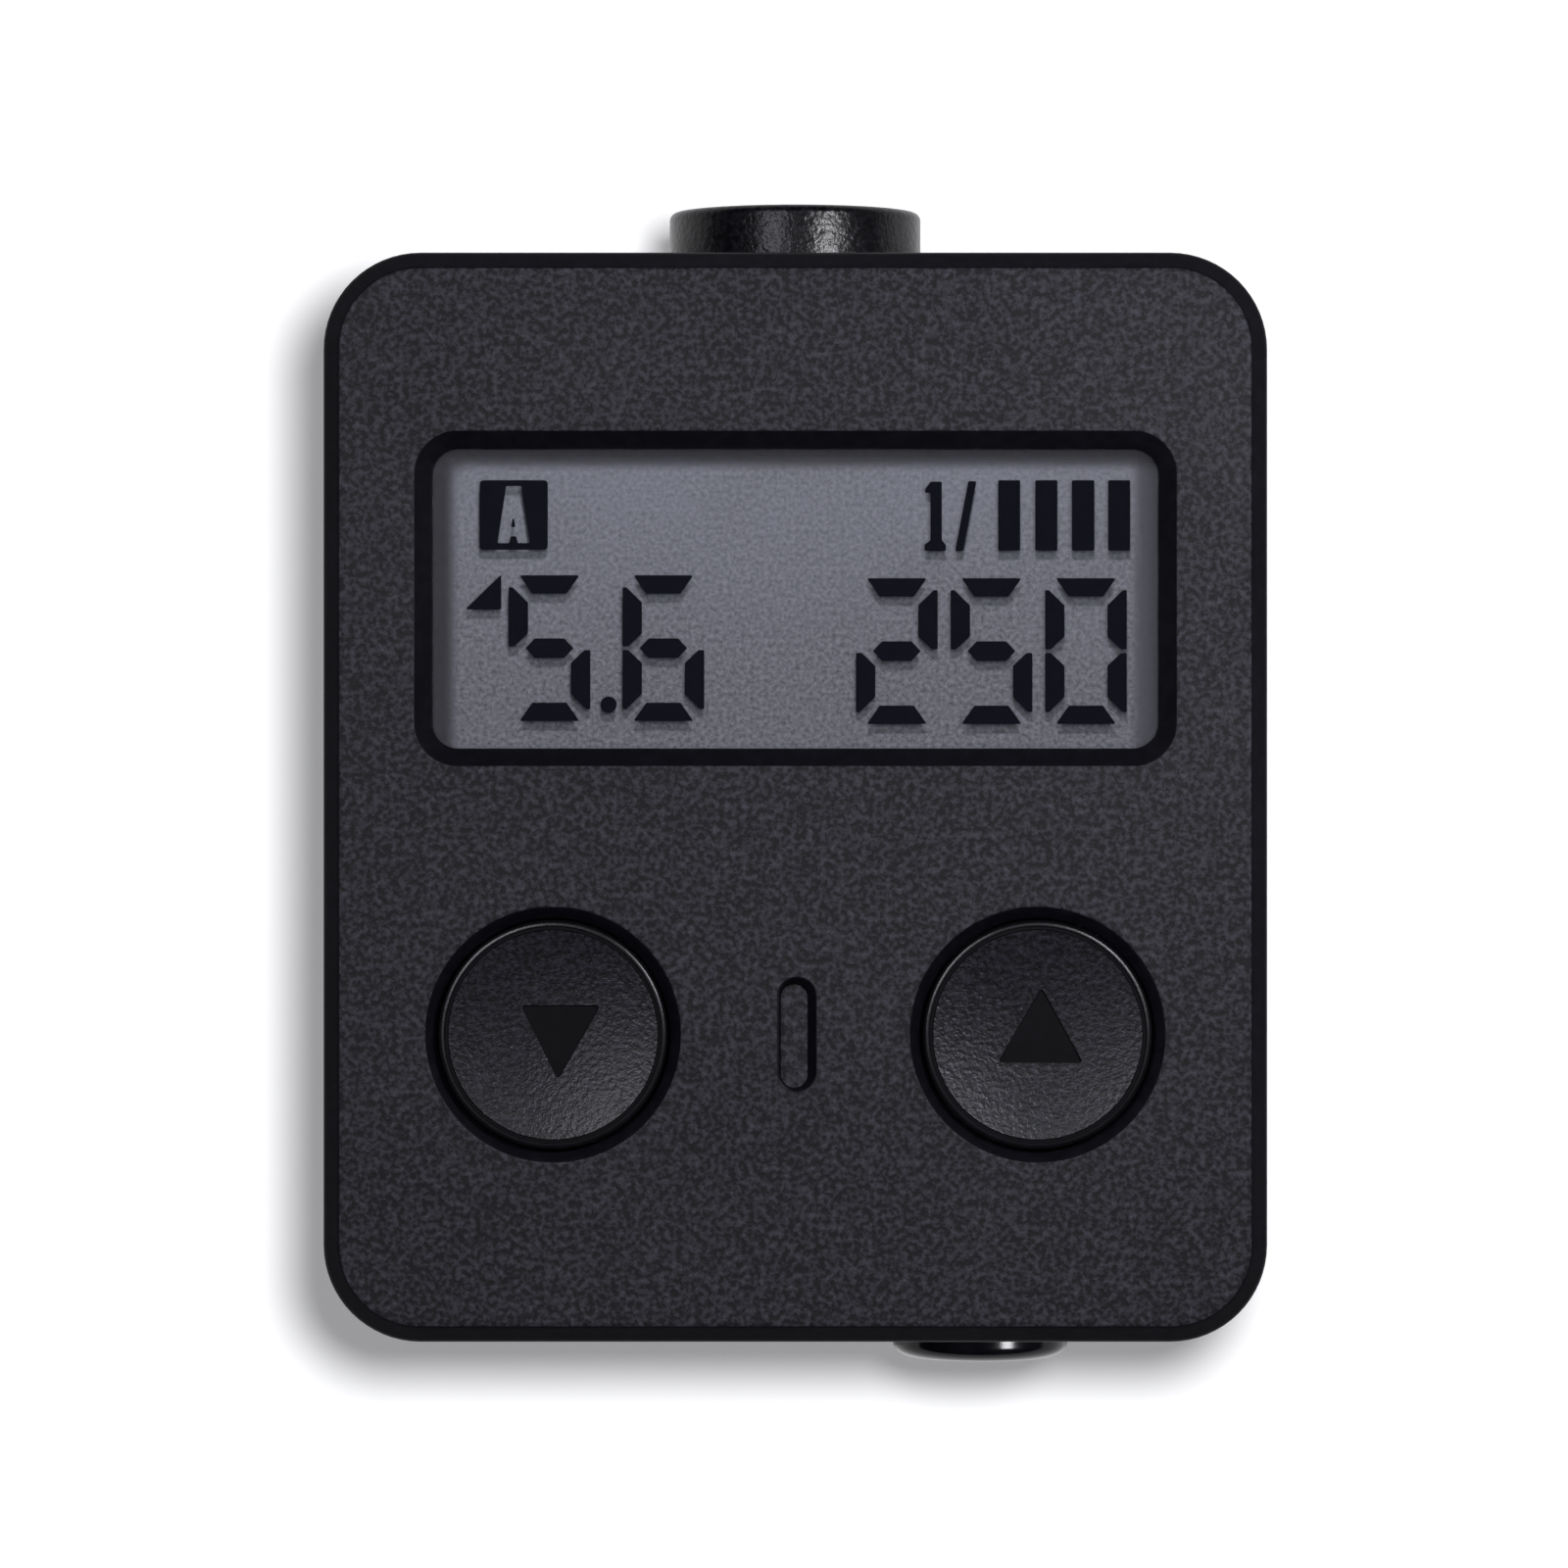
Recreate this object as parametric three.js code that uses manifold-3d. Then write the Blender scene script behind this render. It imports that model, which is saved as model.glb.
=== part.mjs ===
import * as THREE from 'three';
import { mergeVertices } from 'three/addons/utils/BufferGeometryUtils.js';
import Module from 'manifold-3d';

const wasm = await Module();
wasm.setup();

// A small exposure meter that stands on an accessory shoe foot, display up.
// +Y is the front with the light sensor, +X is to the right seen from above.
// The origin is the centre of the foot's underside. All lengths are in millimetres.

// Case. Its width and length follow from what the top face carries and the borders around it,
// and its height from the stack of pieces inside
const sideBorder = 3.975;
const frontBorder = 7.145;
const middleBorder = 5.895;
const rearBorder = 6.73;
const cornerRadius = 3.6;
const edgeRadius = 0.8;
const wall = 1.5;
const floorThickness = 1.4;
const topThickness = 1.2;
const partingDrop = 0.4;
const seamGap = 0.25;
const lipHeight = 0.9;
const lipThickness = 0.6;

// Clearances: fixed fits, running fits, and the overrun of cutting tools
const fitGap = 0.15;
const runGap = 0.2;
const overrun = 1.0;

// Case screws with their bosses and pillars, one in each corner
const bossRadius = 1.9;
const bossRibThickness = 0.8;
const screwRadius = 0.7;
const screwHeadRadius = 1.3;
const screwHeadHeight = 0.9;
const screwSeatHeight = 1.6;
const caseScrewLength = 7.4;
const recessRadiusShare = 0.45;
const recessDepthShare = 0.55;

// Shoe foot and its countersunk screws
const footWidth = 18.6;
const footLength = 17.5;
const footThickness = 2.0;
const footCornerRadius = 1.2;
const footEdge = 0.25;
const footRailWidth = 3.15;
const footToe = 1.25;
const neckHeight = 1.9;
const neckCornerRadius = 0.8;
const footScrewInsetX = 1.95;
const footScrewInsetY = 2.3;
const footScrewLength = 4.3;
const countersinkHeight = 0.8;

// Display opening and pane
const openingWidth = 27.05;
const openingLength = 11.27;
const openingRadius = 0.95;
const openingBevelWidth = 0.68;
const openingBevelDepth = 0.6;
const paneMargin = 1.0;
const paneThickness = 0.9;

// Liquid crystal display
const glassSideMargin = 0.75;
const glassFrontMargin = 0.55;
const glassRearMargin = 0.6;
const contactLedge = 2.6;
const glassThickness = 0.7;
const filmThickness = 0.2;
const filmInset = 0.25;
const displayGap = 0.1;

// Frame under the display, and the rubber contact strip
const holderWall = 0.6;
const holderLedge = 1.2;
const holderRise = 1.9;
const pegRadius = 0.5;
const stripSideInset = 1.875;
const stripThickness = 1.4;
const stripInset = 0.4;

// Circuit board and the pieces soldered to it
const boardThickness = 0.8;
const contactRoom = 0.9;
const boardSideGap = 0.4;
const boardRearGap = 0.5;
const chipSize = 7.0;
const chipThickness = 0.9;
const chipX = -3.0;
const crystalWidth = 3.2;
const crystalLength = 1.5;
const crystalThickness = 0.9;
const crystalX = 5.5;
const capacitorWidth = 1.25;
const capacitorLength = 2.0;
const capacitorThickness = 0.9;
const capacitorPitch = 2.6;
const capacitorCount = 3;
const capacitorDrop = 3.0;
const partEdge = 0.15;

// Keys on the top face
const keySideInset = 8.53;
const capRadius = 4.0;
const capProud = 0.1;
const capEdge = 0.2;
const capRimWidth = 0.3;
const dishDepth = 0.35;
const capSideGap = 0.25;
const keyBevelWidth = 0.43;
const keyBevelDepth = 0.5;
const flangeOverhang = 0.6;
const flangeThickness = 0.6;
const flangeStopGap = 0.1;
const stemRadius = 1.3;
const keyTravel = 0.4;
const collarThickness = 0.7;
const collarHeight = 2.0;
const keyTabWidth = 1.2;
const keyTabLength = 0.7;

// Tact switches under the keys
const switchSize = 5.0;
const switchHeight = 1.6;
const switchEdge = 0.5;
const plungerRadius = 1.2;
const plungerProud = 0.5;
const plungerHidden = 0.5;
const plungerFloorGap = 0.1;

// Pill shaped recess between the keys
const pillWidth = 1.3;
const pillLength = 4.1;
const pillDepth = 0.4;

// Thumb button in the rear wall and its switch, standing in a notch of the board
const thumbSideInset = 10.5;
const thumbRaise = 0.3;
const thumbRadius = 3.3;
const thumbProud = 1.1;
const thumbEdge = 0.75;
const thumbCrown = 0.15;
const thumbTravel = 0.5;
const thumbFlangeOverhang = 0.5;
const thumbBevel = 0.3;
const thumbSwitchHeight = 4.4;
const thumbSwitchDepth = 2.2;
const thumbSwitchGap = 0.4;

// Light sensor in the front wall
const hoodRadius = 4.75;
const hoodProud = 1.9;
const hoodEdge = 0.3;
const mouthRadius = 3.4;
const throatRadius = 2.7;
const throatLength = 0.3;
const spigotRadius = 3.8;
const spigotLength = 3.0;
const hoodFlangeOverhang = 0.7;
const lensRadius = 2.95;
const lensEdgeThickness = 1.4;
const lensRim = 0.35;
const lensDome = 0.9;
const lensSetback = 0.5;
const baffleGap = 0.2;
const baffleRearRadius = 1.4;
const diodeWidth = 3.2;
const diodeHeight = 2.6;
const diodeThickness = 0.9;
const sensorBoardWidth = 8.0;
const sensorBoardHeight = 7.8;
const sensorBoardThickness = 0.6;

// Coin cell
const cellRadius = 10.0;
const cellHeight = 3.2;
const cellEdge = 0.4;
const cellCapRadius = 8.6;
const cellCapThickness = 0.5;
const cellCapProud = 0.15;
const gasketGap = 0.3;

// Battery tray that slides out of the left wall
const trayRearGap = 0.6;
const traySideWall = 0.7;
const trayFloor = 0.6;
const trayEnd = 1.0;
const trayFrontBar = 0.6;
const trayWallDrop = 0.2;
const trayCornerRadius = 5.0;
const doorOverhang = 0.5;
const nailScoopRadius = 1.2;
const nailScoopLength = 6.0;
const nailScoopDepth = 0.8;
const pushHoleRadius = 4.0;
const leafSlotWidth = 5.0;

// Guide rails, stop and posts that carry the tray and the board
const railThickness = 0.8;
const railEndGap = 0.2;
const stopThickness = 0.8;
const stopLength = 5.0;
const postRadius = 1.2;
const postDraft = 0.2;
const postFrontInset = 2.3;

// Battery contact leaves
const leafThickness = 0.2;
const leafWidth = 3.6;
const leafTouchGap = 0.1;
const leafReach = 6.0;
const leafFoot = 3.8;
const leafTip = 1.2;

// Numbers of facets
const cornerSteps = 4;
const edgeSteps = 4;
const arcSteps = 2;
const dishSteps = 4;
const roundSides = 40;
const smallSides = 14;

// Places worked out from the sizes above, measured from the underside of the case
const neckWidth = footWidth - 2 * footRailWidth;
const neckLength = footLength - 2 * footToe;
const footHeight = footThickness + neckHeight;
const trayBottom = floorThickness + runGap;
const cellBottom = trayBottom + trayFloor;
const cellTop = cellBottom + cellHeight;
const boardHeight = cellTop + contactRoom;
const boardTop = boardHeight + boardThickness;
const partingHeight = boardHeight - partingDrop;
const reflectorBottom = boardTop + holderRise;
const rearGlassBottom = reflectorBottom + filmThickness;
const frontGlassBottom = rearGlassBottom + glassThickness;
const displayTop = frontGlassBottom + glassThickness + filmThickness;
const paneBottom = displayTop + displayGap;
const topUnderside = paneBottom + paneThickness;
const bodyHeight = topUnderside + topThickness;
const keyBevelRadius = capRadius + capSideGap + keyBevelWidth;
const bodyWidth = openingWidth + 2 * sideBorder;
const bodyLength = frontBorder + openingLength + middleBorder + 2 * keyBevelRadius + rearBorder;
const openingY = bodyLength / 2 - frontBorder - openingLength / 2;
const keyY = rearBorder + keyBevelRadius - bodyLength / 2;
const keySpacing = bodyWidth - 2 * keySideInset;
const thumbX = bodyWidth / 2 - thumbSideInset;
const thumbHeight = bodyHeight / 2 + thumbRaise;
const sensorHeight = bodyHeight / 2;
const footScrewSpacingX = neckWidth - 2 * footScrewInsetX;
const footScrewSpacingY = neckLength - 2 * footScrewInsetY;
const innerX = bodyWidth / 2 - wall;
const innerY = bodyLength / 2 - wall;
const bossX = bodyWidth / 2 - cornerRadius;
const bossY = bodyLength / 2 - cornerRadius;
const lipReliefTop = partingHeight + lipHeight + fitGap;
const glassHalfWidth = openingWidth / 2 + glassSideMargin;
const glassFrontY = openingY + openingLength / 2 + glassFrontMargin;
const glassRearY = openingY - openingLength / 2 - glassRearMargin;
const ledgeRearY = glassRearY - contactLedge;
const stripWidth = 2 * (glassHalfWidth - stripSideInset);
const holderRearY = ledgeRearY - displayGap - holderWall;
const holderFrontY = glassFrontY + displayGap + holderWall;
const holderHalfWidth = glassHalfWidth + displayGap + holderWall;
const boardFrontY = holderFrontY + runGap;
const diodeFrontY = boardFrontY + sensorBoardThickness + diodeThickness;
const lensRearY = bodyLength / 2 - lensSetback - lensEdgeThickness;
const baffleLength = lensRearY - diodeFrontY - baffleGap;
const boardRearY = -innerY + boardRearGap;
const boardHalfWidth = innerX - boardSideGap;
const flangeTop = topUnderside - flangeStopGap;
const flangeBottom = flangeTop - flangeThickness;
const flangeRadius = capRadius + flangeOverhang;
const collarInner = flangeRadius + runGap;
const switchTop = boardTop + switchHeight;
const plungerTop = switchTop + plungerProud;
const plungerLength = plungerProud + plungerHidden;
const thumbFlangeRadius = thumbRadius + thumbFlangeOverhang;
const thumbFlangeFront = wall + flangeStopGap;
const thumbFlangeRear = thumbFlangeFront + flangeThickness;
const thumbPlungerFront = thumbFlangeRear + runGap;
const thumbSwitchFront = thumbFlangeRear + thumbTravel + thumbSwitchGap;
const thumbSwitchRear = thumbSwitchFront + thumbSwitchDepth;
const pocketRadius = cellRadius + runGap;
const trayHalfWidth = pocketRadius + traySideWall;
const trayY = bossRadius + trayRearGap + trayHalfWidth - bossY;
const doorHalfWidth = trayHalfWidth + doorOverhang;
const slotHalfWidth = doorHalfWidth + runGap;
const cellX = -innerX + trayFrontBar + pocketRadius;
const trayRightX = cellX + pocketRadius + trayEnd;
const stopX = trayRightX + runGap + stopThickness / 2;
const railRight = thumbX - switchSize / 2 - 2 * fitGap;
const postX = (stopX + innerX) / 2;
const postFrontY = boardFrontY - postFrontInset;
const postMiddleY = trayY + stopLength;

// Finishes
function finish(color, roughness, metalness, opacity = 1) {
  const transparent = opacity < 1;
  return new THREE.MeshStandardMaterial({ color, roughness, metalness, opacity, transparent });
}

const finishes = {
  casePlastic: finish(0x34343a, 0.6, 0),
  keyPlastic: finish(0x2c2c31, 0.45, 0),
  glossPlastic: finish(0x151519, 0.2, 0),
  clearPane: finish(0xf2f4f6, 0.05, 0, 0.25),
  glass: finish(0xdfe4e4, 0.05, 0, 0.35),
  reflector: finish(0x74757d, 0.4, 0.2),
  innerPlastic: finish(0x1d1d20, 0.6, 0),
  rubber: finish(0xc9a9a4, 0.8, 0),
  board: finish(0x1f5a38, 0.5, 0),
  chip: finish(0x17171a, 0.5, 0),
  ceramic: finish(0x9c7b52, 0.6, 0),
  steel: finish(0xb9bbbe, 0.3, 1),
  brass: finish(0xc2a35a, 0.35, 1),
};

// Solids from three.js geometry, and meshes from solids
function solidOf(geometry) {
  const bare = geometry.clone();
  bare.deleteAttribute('normal');
  bare.deleteAttribute('uv');
  const merged = mergeVertices(bare);
  const corners = merged.index.array;
  const triangles = [];
  for (let i = 0; i < corners.length; i += 3) {
    const [a, b, c] = corners.slice(i, i + 3);
    if (a !== b && b !== c && c !== a) triangles.push(a, b, c);
  }
  const vertProperties = merged.attributes.position.array;
  const triVerts = new Uint32Array(triangles);
  return new wasm.Manifold(new wasm.Mesh({ numProp: 3, vertProperties, triVerts }));
}

function join(...solids) {
  return solids.reduce((whole, solid) => whole.add(solid));
}

function cut(whole, ...tools) {
  return tools.reduce((rest, tool) => rest.subtract(tool), whole);
}

function named(name, solid, material) {
  const { vertProperties, triVerts } = solid.getMesh();
  const geometry = new THREE.BufferGeometry();
  geometry.setAttribute('position', new THREE.BufferAttribute(vertProperties, 3));
  geometry.setIndex(new THREE.BufferAttribute(triVerts, 1));
  geometry.computeVertexNormals();
  const mesh = new THREE.Mesh(geometry, material.clone());
  mesh.name = name;
  return mesh;
}

// A block whose lowest face lies at z, centred on x and y
function block(width, length, height, x, y, z) {
  const geometry = new THREE.BoxGeometry(width, length, height);
  return solidOf(geometry.translate(x, y, z + height / 2));
}

// A block between two corners in plan
function slabBetween(left, rear, right, front, height, z) {
  return block(right - left, front - rear, height, (left + right) / 2, (rear + front) / 2, z);
}

// An upright cylinder or cone whose lowest face lies at z
function disc(radius, height, x, y, z, topRadius = radius, sides = roundSides) {
  const geometry = new THREE.CylinderGeometry(topRadius, radius, height, sides);
  geometry.rotateX(Math.PI / 2);
  return solidOf(geometry.translate(x, y, z + height / 2));
}

// A cylinder along Y from the rear to the front place
function bar(radius, rear, front, x, z, frontRadius = radius, sides = roundSides) {
  const geometry = new THREE.CylinderGeometry(frontRadius, radius, front - rear, sides);
  return solidOf(geometry.translate(x, (rear + front) / 2, z));
}

function roundedOutline(width, length, radius) {
  const x = width / 2;
  const y = length / 2;
  const outline = new THREE.Shape();
  outline.absarc(x - radius, y - radius, radius, 0, Math.PI / 2);
  outline.absarc(radius - x, y - radius, radius, Math.PI / 2, Math.PI);
  outline.absarc(radius - x, radius - y, radius, Math.PI, Math.PI * 1.5);
  outline.absarc(x - radius, radius - y, radius, Math.PI * 1.5, Math.PI * 2);
  outline.closePath();
  return outline;
}

// A plate with rounded corners in plan
function plate(width, length, radius, height, x, y, z) {
  const outline = roundedOutline(width, length, radius);
  const options = { depth: height, bevelEnabled: false, curveSegments: cornerSteps };
  const geometry = new THREE.ExtrudeGeometry(outline, options);
  return solidOf(geometry.translate(x, y, z));
}

// The same with all upper and lower edges rounded or chamfered
function softPlate(width, length, radius, height, edge, steps, z) {
  const outline = roundedOutline(width, length, radius);
  const geometry = new THREE.ExtrudeGeometry(outline, {
    depth: height - 2 * edge,
    bevelThickness: edge,
    bevelSize: edge,
    bevelOffset: -edge,
    bevelSegments: steps,
    curveSegments: cornerSteps,
  });
  return solidOf(geometry.translate(0, 0, z + edge));
}

// A solid of revolution from a closed profile of radius and height, standing on Z
function turned(profile, steps = arcSteps, sides = roundSides) {
  return solidOf(spun(profile, steps, sides).rotateX(Math.PI / 2));
}

// The same lying along Y, with the profile's height towards the front
function turnedForward(profile, steps = arcSteps, sides = roundSides) {
  return solidOf(spun(profile, steps, sides));
}

// The same with the profile's height towards the rear
function turnedBackward(profile, steps = arcSteps, sides = roundSides) {
  return solidOf(spun(profile, steps, sides).rotateX(Math.PI));
}

function spun(profile, steps, sides) {
  const points = profile.getPoints(steps);
  if (THREE.ShapeUtils.area(points) < 0) points.reverse();
  return new THREE.LatheGeometry(points, sides);
}

function profileThrough(...points) {
  const path = new THREE.Path();
  const [first, ...rest] = points;
  path.moveTo(...first);
  for (const point of rest) path.lineTo(...point);
  return path;
}

const cornerSigns = [[1, 1], [-1, 1], [-1, -1], [1, -1]];

// Case shells
function caseBlank() {
  return softPlate(bodyWidth, bodyLength, cornerRadius, bodyHeight, edgeRadius, edgeSteps, 0);
}

// A plate that follows the case outline at a distance inside it
function insetPlate(inset, height, z) {
  const radius = cornerRadius - inset;
  return plate(bodyWidth - 2 * inset, bodyLength - 2 * inset, radius, height, 0, 0, z);
}

// Ribs that tie a corner boss to the two walls beside it
function bossRibs(signX, signY, bottom, top) {
  const height = top - bottom;
  const reachX = innerX + wall / 2 - bossX;
  const reachY = innerY + wall / 2 - bossY;
  const x = signX * (bossX + reachX / 2);
  const y = signY * (bossY + reachY / 2);
  return join(
    block(reachX, bossRibThickness, height, x, signY * bossY, bottom),
    block(bossRibThickness, reachY, height, signX * bossX, y, bottom),
  );
}

function frontBore() {
  const y = bodyLength / 2;
  return bar(spigotRadius + fitGap, y - wall - overrun, y + overrun, 0, sensorHeight);
}

function rearBore() {
  const y = -bodyLength / 2;
  const radius = thumbRadius + capSideGap;
  const mouth = radius + thumbBevel;
  return join(
    bar(radius, y - overrun, y + wall + overrun, thumbX, thumbHeight),
    bar(mouth + overrun, y - overrun, y + thumbBevel, thumbX, thumbHeight, radius),
  );
}

function displayCutter() {
  const outline = roundedOutline(openingWidth, openingLength, openingRadius);
  const geometry = new THREE.ExtrudeGeometry(outline, {
    depth: overrun,
    bevelThickness: openingBevelDepth,
    bevelSize: openingBevelWidth,
    bevelSegments: 1,
    curveSegments: cornerSteps,
  });
  const bevel = solidOf(geometry.translate(0, openingY, bodyHeight));
  const z = topUnderside - overrun;
  const height = topThickness + overrun;
  return bevel.add(plate(openingWidth, openingLength, openingRadius, height, 0, openingY, z));
}

function keyCutter(x) {
  const radius = capRadius + capSideGap;
  const bevelBottom = bodyHeight - keyBevelDepth;
  const spread = keyBevelRadius - radius;
  return join(
    disc(radius, topThickness + 2 * overrun, x, keyY, topUnderside - overrun),
    disc(radius, 2 * keyBevelDepth, x, keyY, bevelBottom, radius + 2 * spread),
  );
}

// Collar under the top wall that guides a key's flange, with a slot for its tab
function keyCollar(x) {
  const bottom = topUnderside - collarHeight;
  const height = collarHeight + topThickness / 2;
  const ring = cut(
    disc(collarInner + collarThickness, height, x, keyY, bottom),
    disc(collarInner, height + overrun, x, keyY, bottom - overrun / 2),
  );
  const slotWidth = keyTabWidth + 2 * runGap;
  const slotY = keyY + collarInner + collarThickness / 2;
  const slot = block(slotWidth, 2 * collarThickness, height + overrun, x, slotY, bottom - overrun);
  return ring.subtract(slot).intersect(block(
    bodyWidth, bodyLength, topUnderside + topThickness / 2, 0, 0, 0,
  ));
}

function topShell() {
  const seam = partingHeight + seamGap;
  const lowerHalf = block(2 * bodyWidth, 2 * bodyLength, seam + overrun, 0, 0, -overrun);
  const cavity = insetPlate(wall, topUnderside + overrun, -overrun);
  const lipRelief = insetPlate(wall - lipThickness - fitGap, lipReliefTop + overrun, -overrun);
  let shell = cut(caseBlank(), lowerHalf, cavity, lipRelief);
  for (const [signX, signY] of cornerSigns) {
    const x = signX * bossX;
    const y = signY * bossY;
    const height = topUnderside + topThickness / 2 - partingHeight;
    const boss = disc(bossRadius, height, x, y, partingHeight, bossRadius, smallSides);
    shell = join(shell, boss, bossRibs(signX, signY, lipReliefTop, topUnderside + topThickness / 2));
    const pilotHeight = screwSeatHeight + caseScrewLength + boardThickness - partingHeight;
    const pilotRadius = screwRadius + fitGap;
    const pilot = disc(pilotRadius, pilotHeight, x, y, partingHeight, pilotRadius, smallSides);
    shell = shell.subtract(pilot);
  }
  const recess = plate(
    pillWidth, pillLength, pillWidth / 2, pillDepth + overrun, 0, keyY, bodyHeight - pillDepth,
  );
  shell = join(shell, keyCollar(-keySpacing / 2), keyCollar(keySpacing / 2));
  shell = cut(shell, displayCutter(), keyCutter(-keySpacing / 2), keyCutter(keySpacing / 2));
  shell = cut(shell, recess, frontBore(), rearBore());
  return named('top_shell', shell, finishes.casePlastic);
}

// Posts and rails inside the lower shell reach up to the board
function coverInterior() {
  const height = boardHeight - floorThickness / 2;
  const bottom = floorThickness / 2;
  const pieces = [];
  for (const side of [-1, 1]) {
    const y = trayY + side * (trayHalfWidth + runGap + railThickness / 2);
    const left = -innerX + railEndGap;
    pieces.push(block(railRight - left, railThickness, height, (railRight + left) / 2, y, bottom));
    const stopY = trayY + side * (trayHalfWidth - stopLength / 2 - cellEdge);
    pieces.push(block(stopThickness, stopLength, height, stopX, stopY, bottom));
    pieces.push(disc(
      postRadius + postDraft, height, side * postX, postFrontY, bottom, postRadius, smallSides,
    ));
  }
  pieces.push(disc(postRadius + postDraft, height, postX, postMiddleY, bottom, postRadius, smallSides));
  return join(...pieces);
}

function traySlot() {
  const height = partingHeight + lipHeight + overrun - floorThickness;
  const left = -bodyWidth / 2 - overrun;
  const right = -innerX + railEndGap / 2;
  const rear = trayY - slotHalfWidth;
  return slabBetween(left, rear, right, trayY + slotHalfWidth, height, floorThickness);
}

function bottomCover() {
  const upperHalf = block(2 * bodyWidth, 2 * bodyLength, bodyHeight, 0, 0, partingHeight);
  const cavity = insetPlate(wall, bodyHeight, floorThickness);
  const lip = cut(
    insetPlate(wall - lipThickness, lipHeight + edgeRadius, partingHeight - edgeRadius),
    insetPlate(wall, bodyHeight, floorThickness),
  );
  let cover = join(cut(caseBlank(), upperHalf, cavity), lip, coverInterior());
  for (const [signX, signY] of cornerSigns) {
    const x = signX * bossX;
    const y = signY * bossY;
    const height = partingHeight - floorThickness / 2;
    const pillar = disc(bossRadius, height, x, y, floorThickness / 2, bossRadius, smallSides);
    const ribs = bossRibs(signX, signY, floorThickness / 2, partingHeight - seamGap);
    const headRoom = screwHeadRadius + fitGap;
    const shankRoom = screwRadius + fitGap;
    cover = cut(
      join(cover, pillar, ribs),
      disc(headRoom, screwSeatHeight + overrun, x, y, -overrun, headRoom, smallSides),
      disc(shankRoom, bodyHeight, x, y, 0, shankRoom, smallSides),
      disc(bossRadius + fitGap, bodyHeight, x, y, partingHeight),
    );
    const footX = signX * footScrewSpacingX / 2;
    const footY = signY * footScrewSpacingY / 2;
    cover = cut(
      cover,
      disc(shankRoom, floorThickness + 2 * overrun, footX, footY, -overrun, shankRoom, smallSides),
      countersink(fitGap).translate(footX, footY, floorThickness),
    );
  }
  cover = cut(cover, traySlot(), frontBore(), rearBore());
  return named('bottom_cover', cover, finishes.casePlastic);
}

// A countersunk head, point down, with its flat top at zero, grown by a clearance
function countersink(grow) {
  const low = screwRadius + grow;
  const high = screwHeadRadius + grow;
  const head = disc(low, countersinkHeight, 0, 0, -countersinkHeight, high, smallSides);
  return grow > 0 ? head.add(disc(high, overrun, 0, 0, 0, high, smallSides)) : head;
}

// A cross shaped driver recess in a screw head, cut from the head's face
function crossRecess(radius, depth, z) {
  const width = radius * recessRadiusShare;
  return join(
    block(2 * radius, width, depth, 0, 0, z),
    block(width, 2 * radius, depth, 0, 0, z),
  );
}

function caseScrew(number, signX, signY) {
  const headBottom = screwSeatHeight - screwHeadHeight;
  const shank = disc(
    screwRadius, caseScrewLength, 0, 0, screwSeatHeight - screwHeadHeight / 2, screwRadius, smallSides,
  );
  const head = disc(screwHeadRadius, screwHeadHeight, 0, 0, headBottom, screwHeadRadius, smallSides);
  const depth = screwHeadHeight * recessDepthShare;
  const recess = crossRecess(screwRadius, depth + overrun, headBottom - overrun);
  const screw = named(`case_screw_${number}`, cut(join(head, shank), recess), finishes.steel);
  screw.position.set(signX * bossX, signY * bossY, 0);
  return screw;
}

function footScrew(number, signX, signY) {
  const shank = disc(screwRadius, footScrewLength, 0, 0, -footScrewLength, screwRadius, smallSides);
  const depth = countersinkHeight * recessDepthShare;
  const recess = crossRecess(screwRadius, depth + overrun, -depth);
  const body = cut(join(countersink(0), shank), recess);
  const screw = named(`foot_screw_${number}`, body, finishes.steel);
  screw.position.set(signX * footScrewSpacingX / 2, signY * footScrewSpacingY / 2, floorThickness);
  return screw;
}

// Shoe foot: a thin plate under a narrower neck, which leaves a groove for the rails on each side
function shoeFoot() {
  const sole = softPlate(footWidth, footLength, footCornerRadius, footThickness, footEdge, 1, 0);
  const neckBottom = footThickness / 2;
  const neck = plate(
    neckWidth, neckLength, neckCornerRadius, footHeight - neckBottom, 0, 0, neckBottom,
  );
  let foot = sole.add(neck);
  const pilotRadius = screwRadius + fitGap;
  const pilotDepth = footScrewLength - floorThickness + runGap;
  for (const [signX, signY] of cornerSigns) {
    const x = signX * footScrewSpacingX / 2;
    const y = signY * footScrewSpacingY / 2;
    const z = footHeight - pilotDepth;
    foot = foot.subtract(disc(pilotRadius, pilotDepth + overrun, x, y, z, pilotRadius, smallSides));
  }
  return named('shoe_foot', foot, finishes.casePlastic);
}

// Display pane, glued under the top wall
function displayWindow() {
  const width = openingWidth + 2 * paneMargin;
  const length = openingLength + 2 * paneMargin;
  const radius = openingRadius + paneMargin / 2;
  const pane = plate(width, length, radius, paneThickness, 0, openingY, paneBottom);
  return named('display_window', pane, finishes.clearPane);
}

// Liquid crystal display: film, large front glass, small rear glass, reflector
function displayLayer(name, rearY, bottom, thickness, inset, material) {
  const x = glassHalfWidth - inset;
  const layer = slabBetween(-x, rearY + inset, x, glassFrontY - inset, thickness, bottom);
  return named(name, layer, material);
}

function display() {
  const filmBottom = displayTop - filmThickness;
  return [
    displayLayer('lcd_front_polariser', glassRearY, filmBottom, filmThickness, filmInset, finishes.glass),
    displayLayer('lcd_front_glass', ledgeRearY, frontGlassBottom, glassThickness, 0, finishes.glass),
    displayLayer('lcd_rear_glass', glassRearY, rearGlassBottom, glassThickness, 0, finishes.glass),
    displayLayer('lcd_reflector', glassRearY, reflectorBottom, filmThickness, 0, finishes.reflector),
  ];
}

function stripCentreY() {
  return ledgeRearY + stripInset + stripThickness / 2;
}

function contactStrip() {
  const height = frontGlassBottom - boardTop;
  const strip = block(stripWidth, stripThickness, height, 0, stripCentreY(), boardTop);
  return named('contact_strip', strip, finishes.rubber);
}

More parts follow.
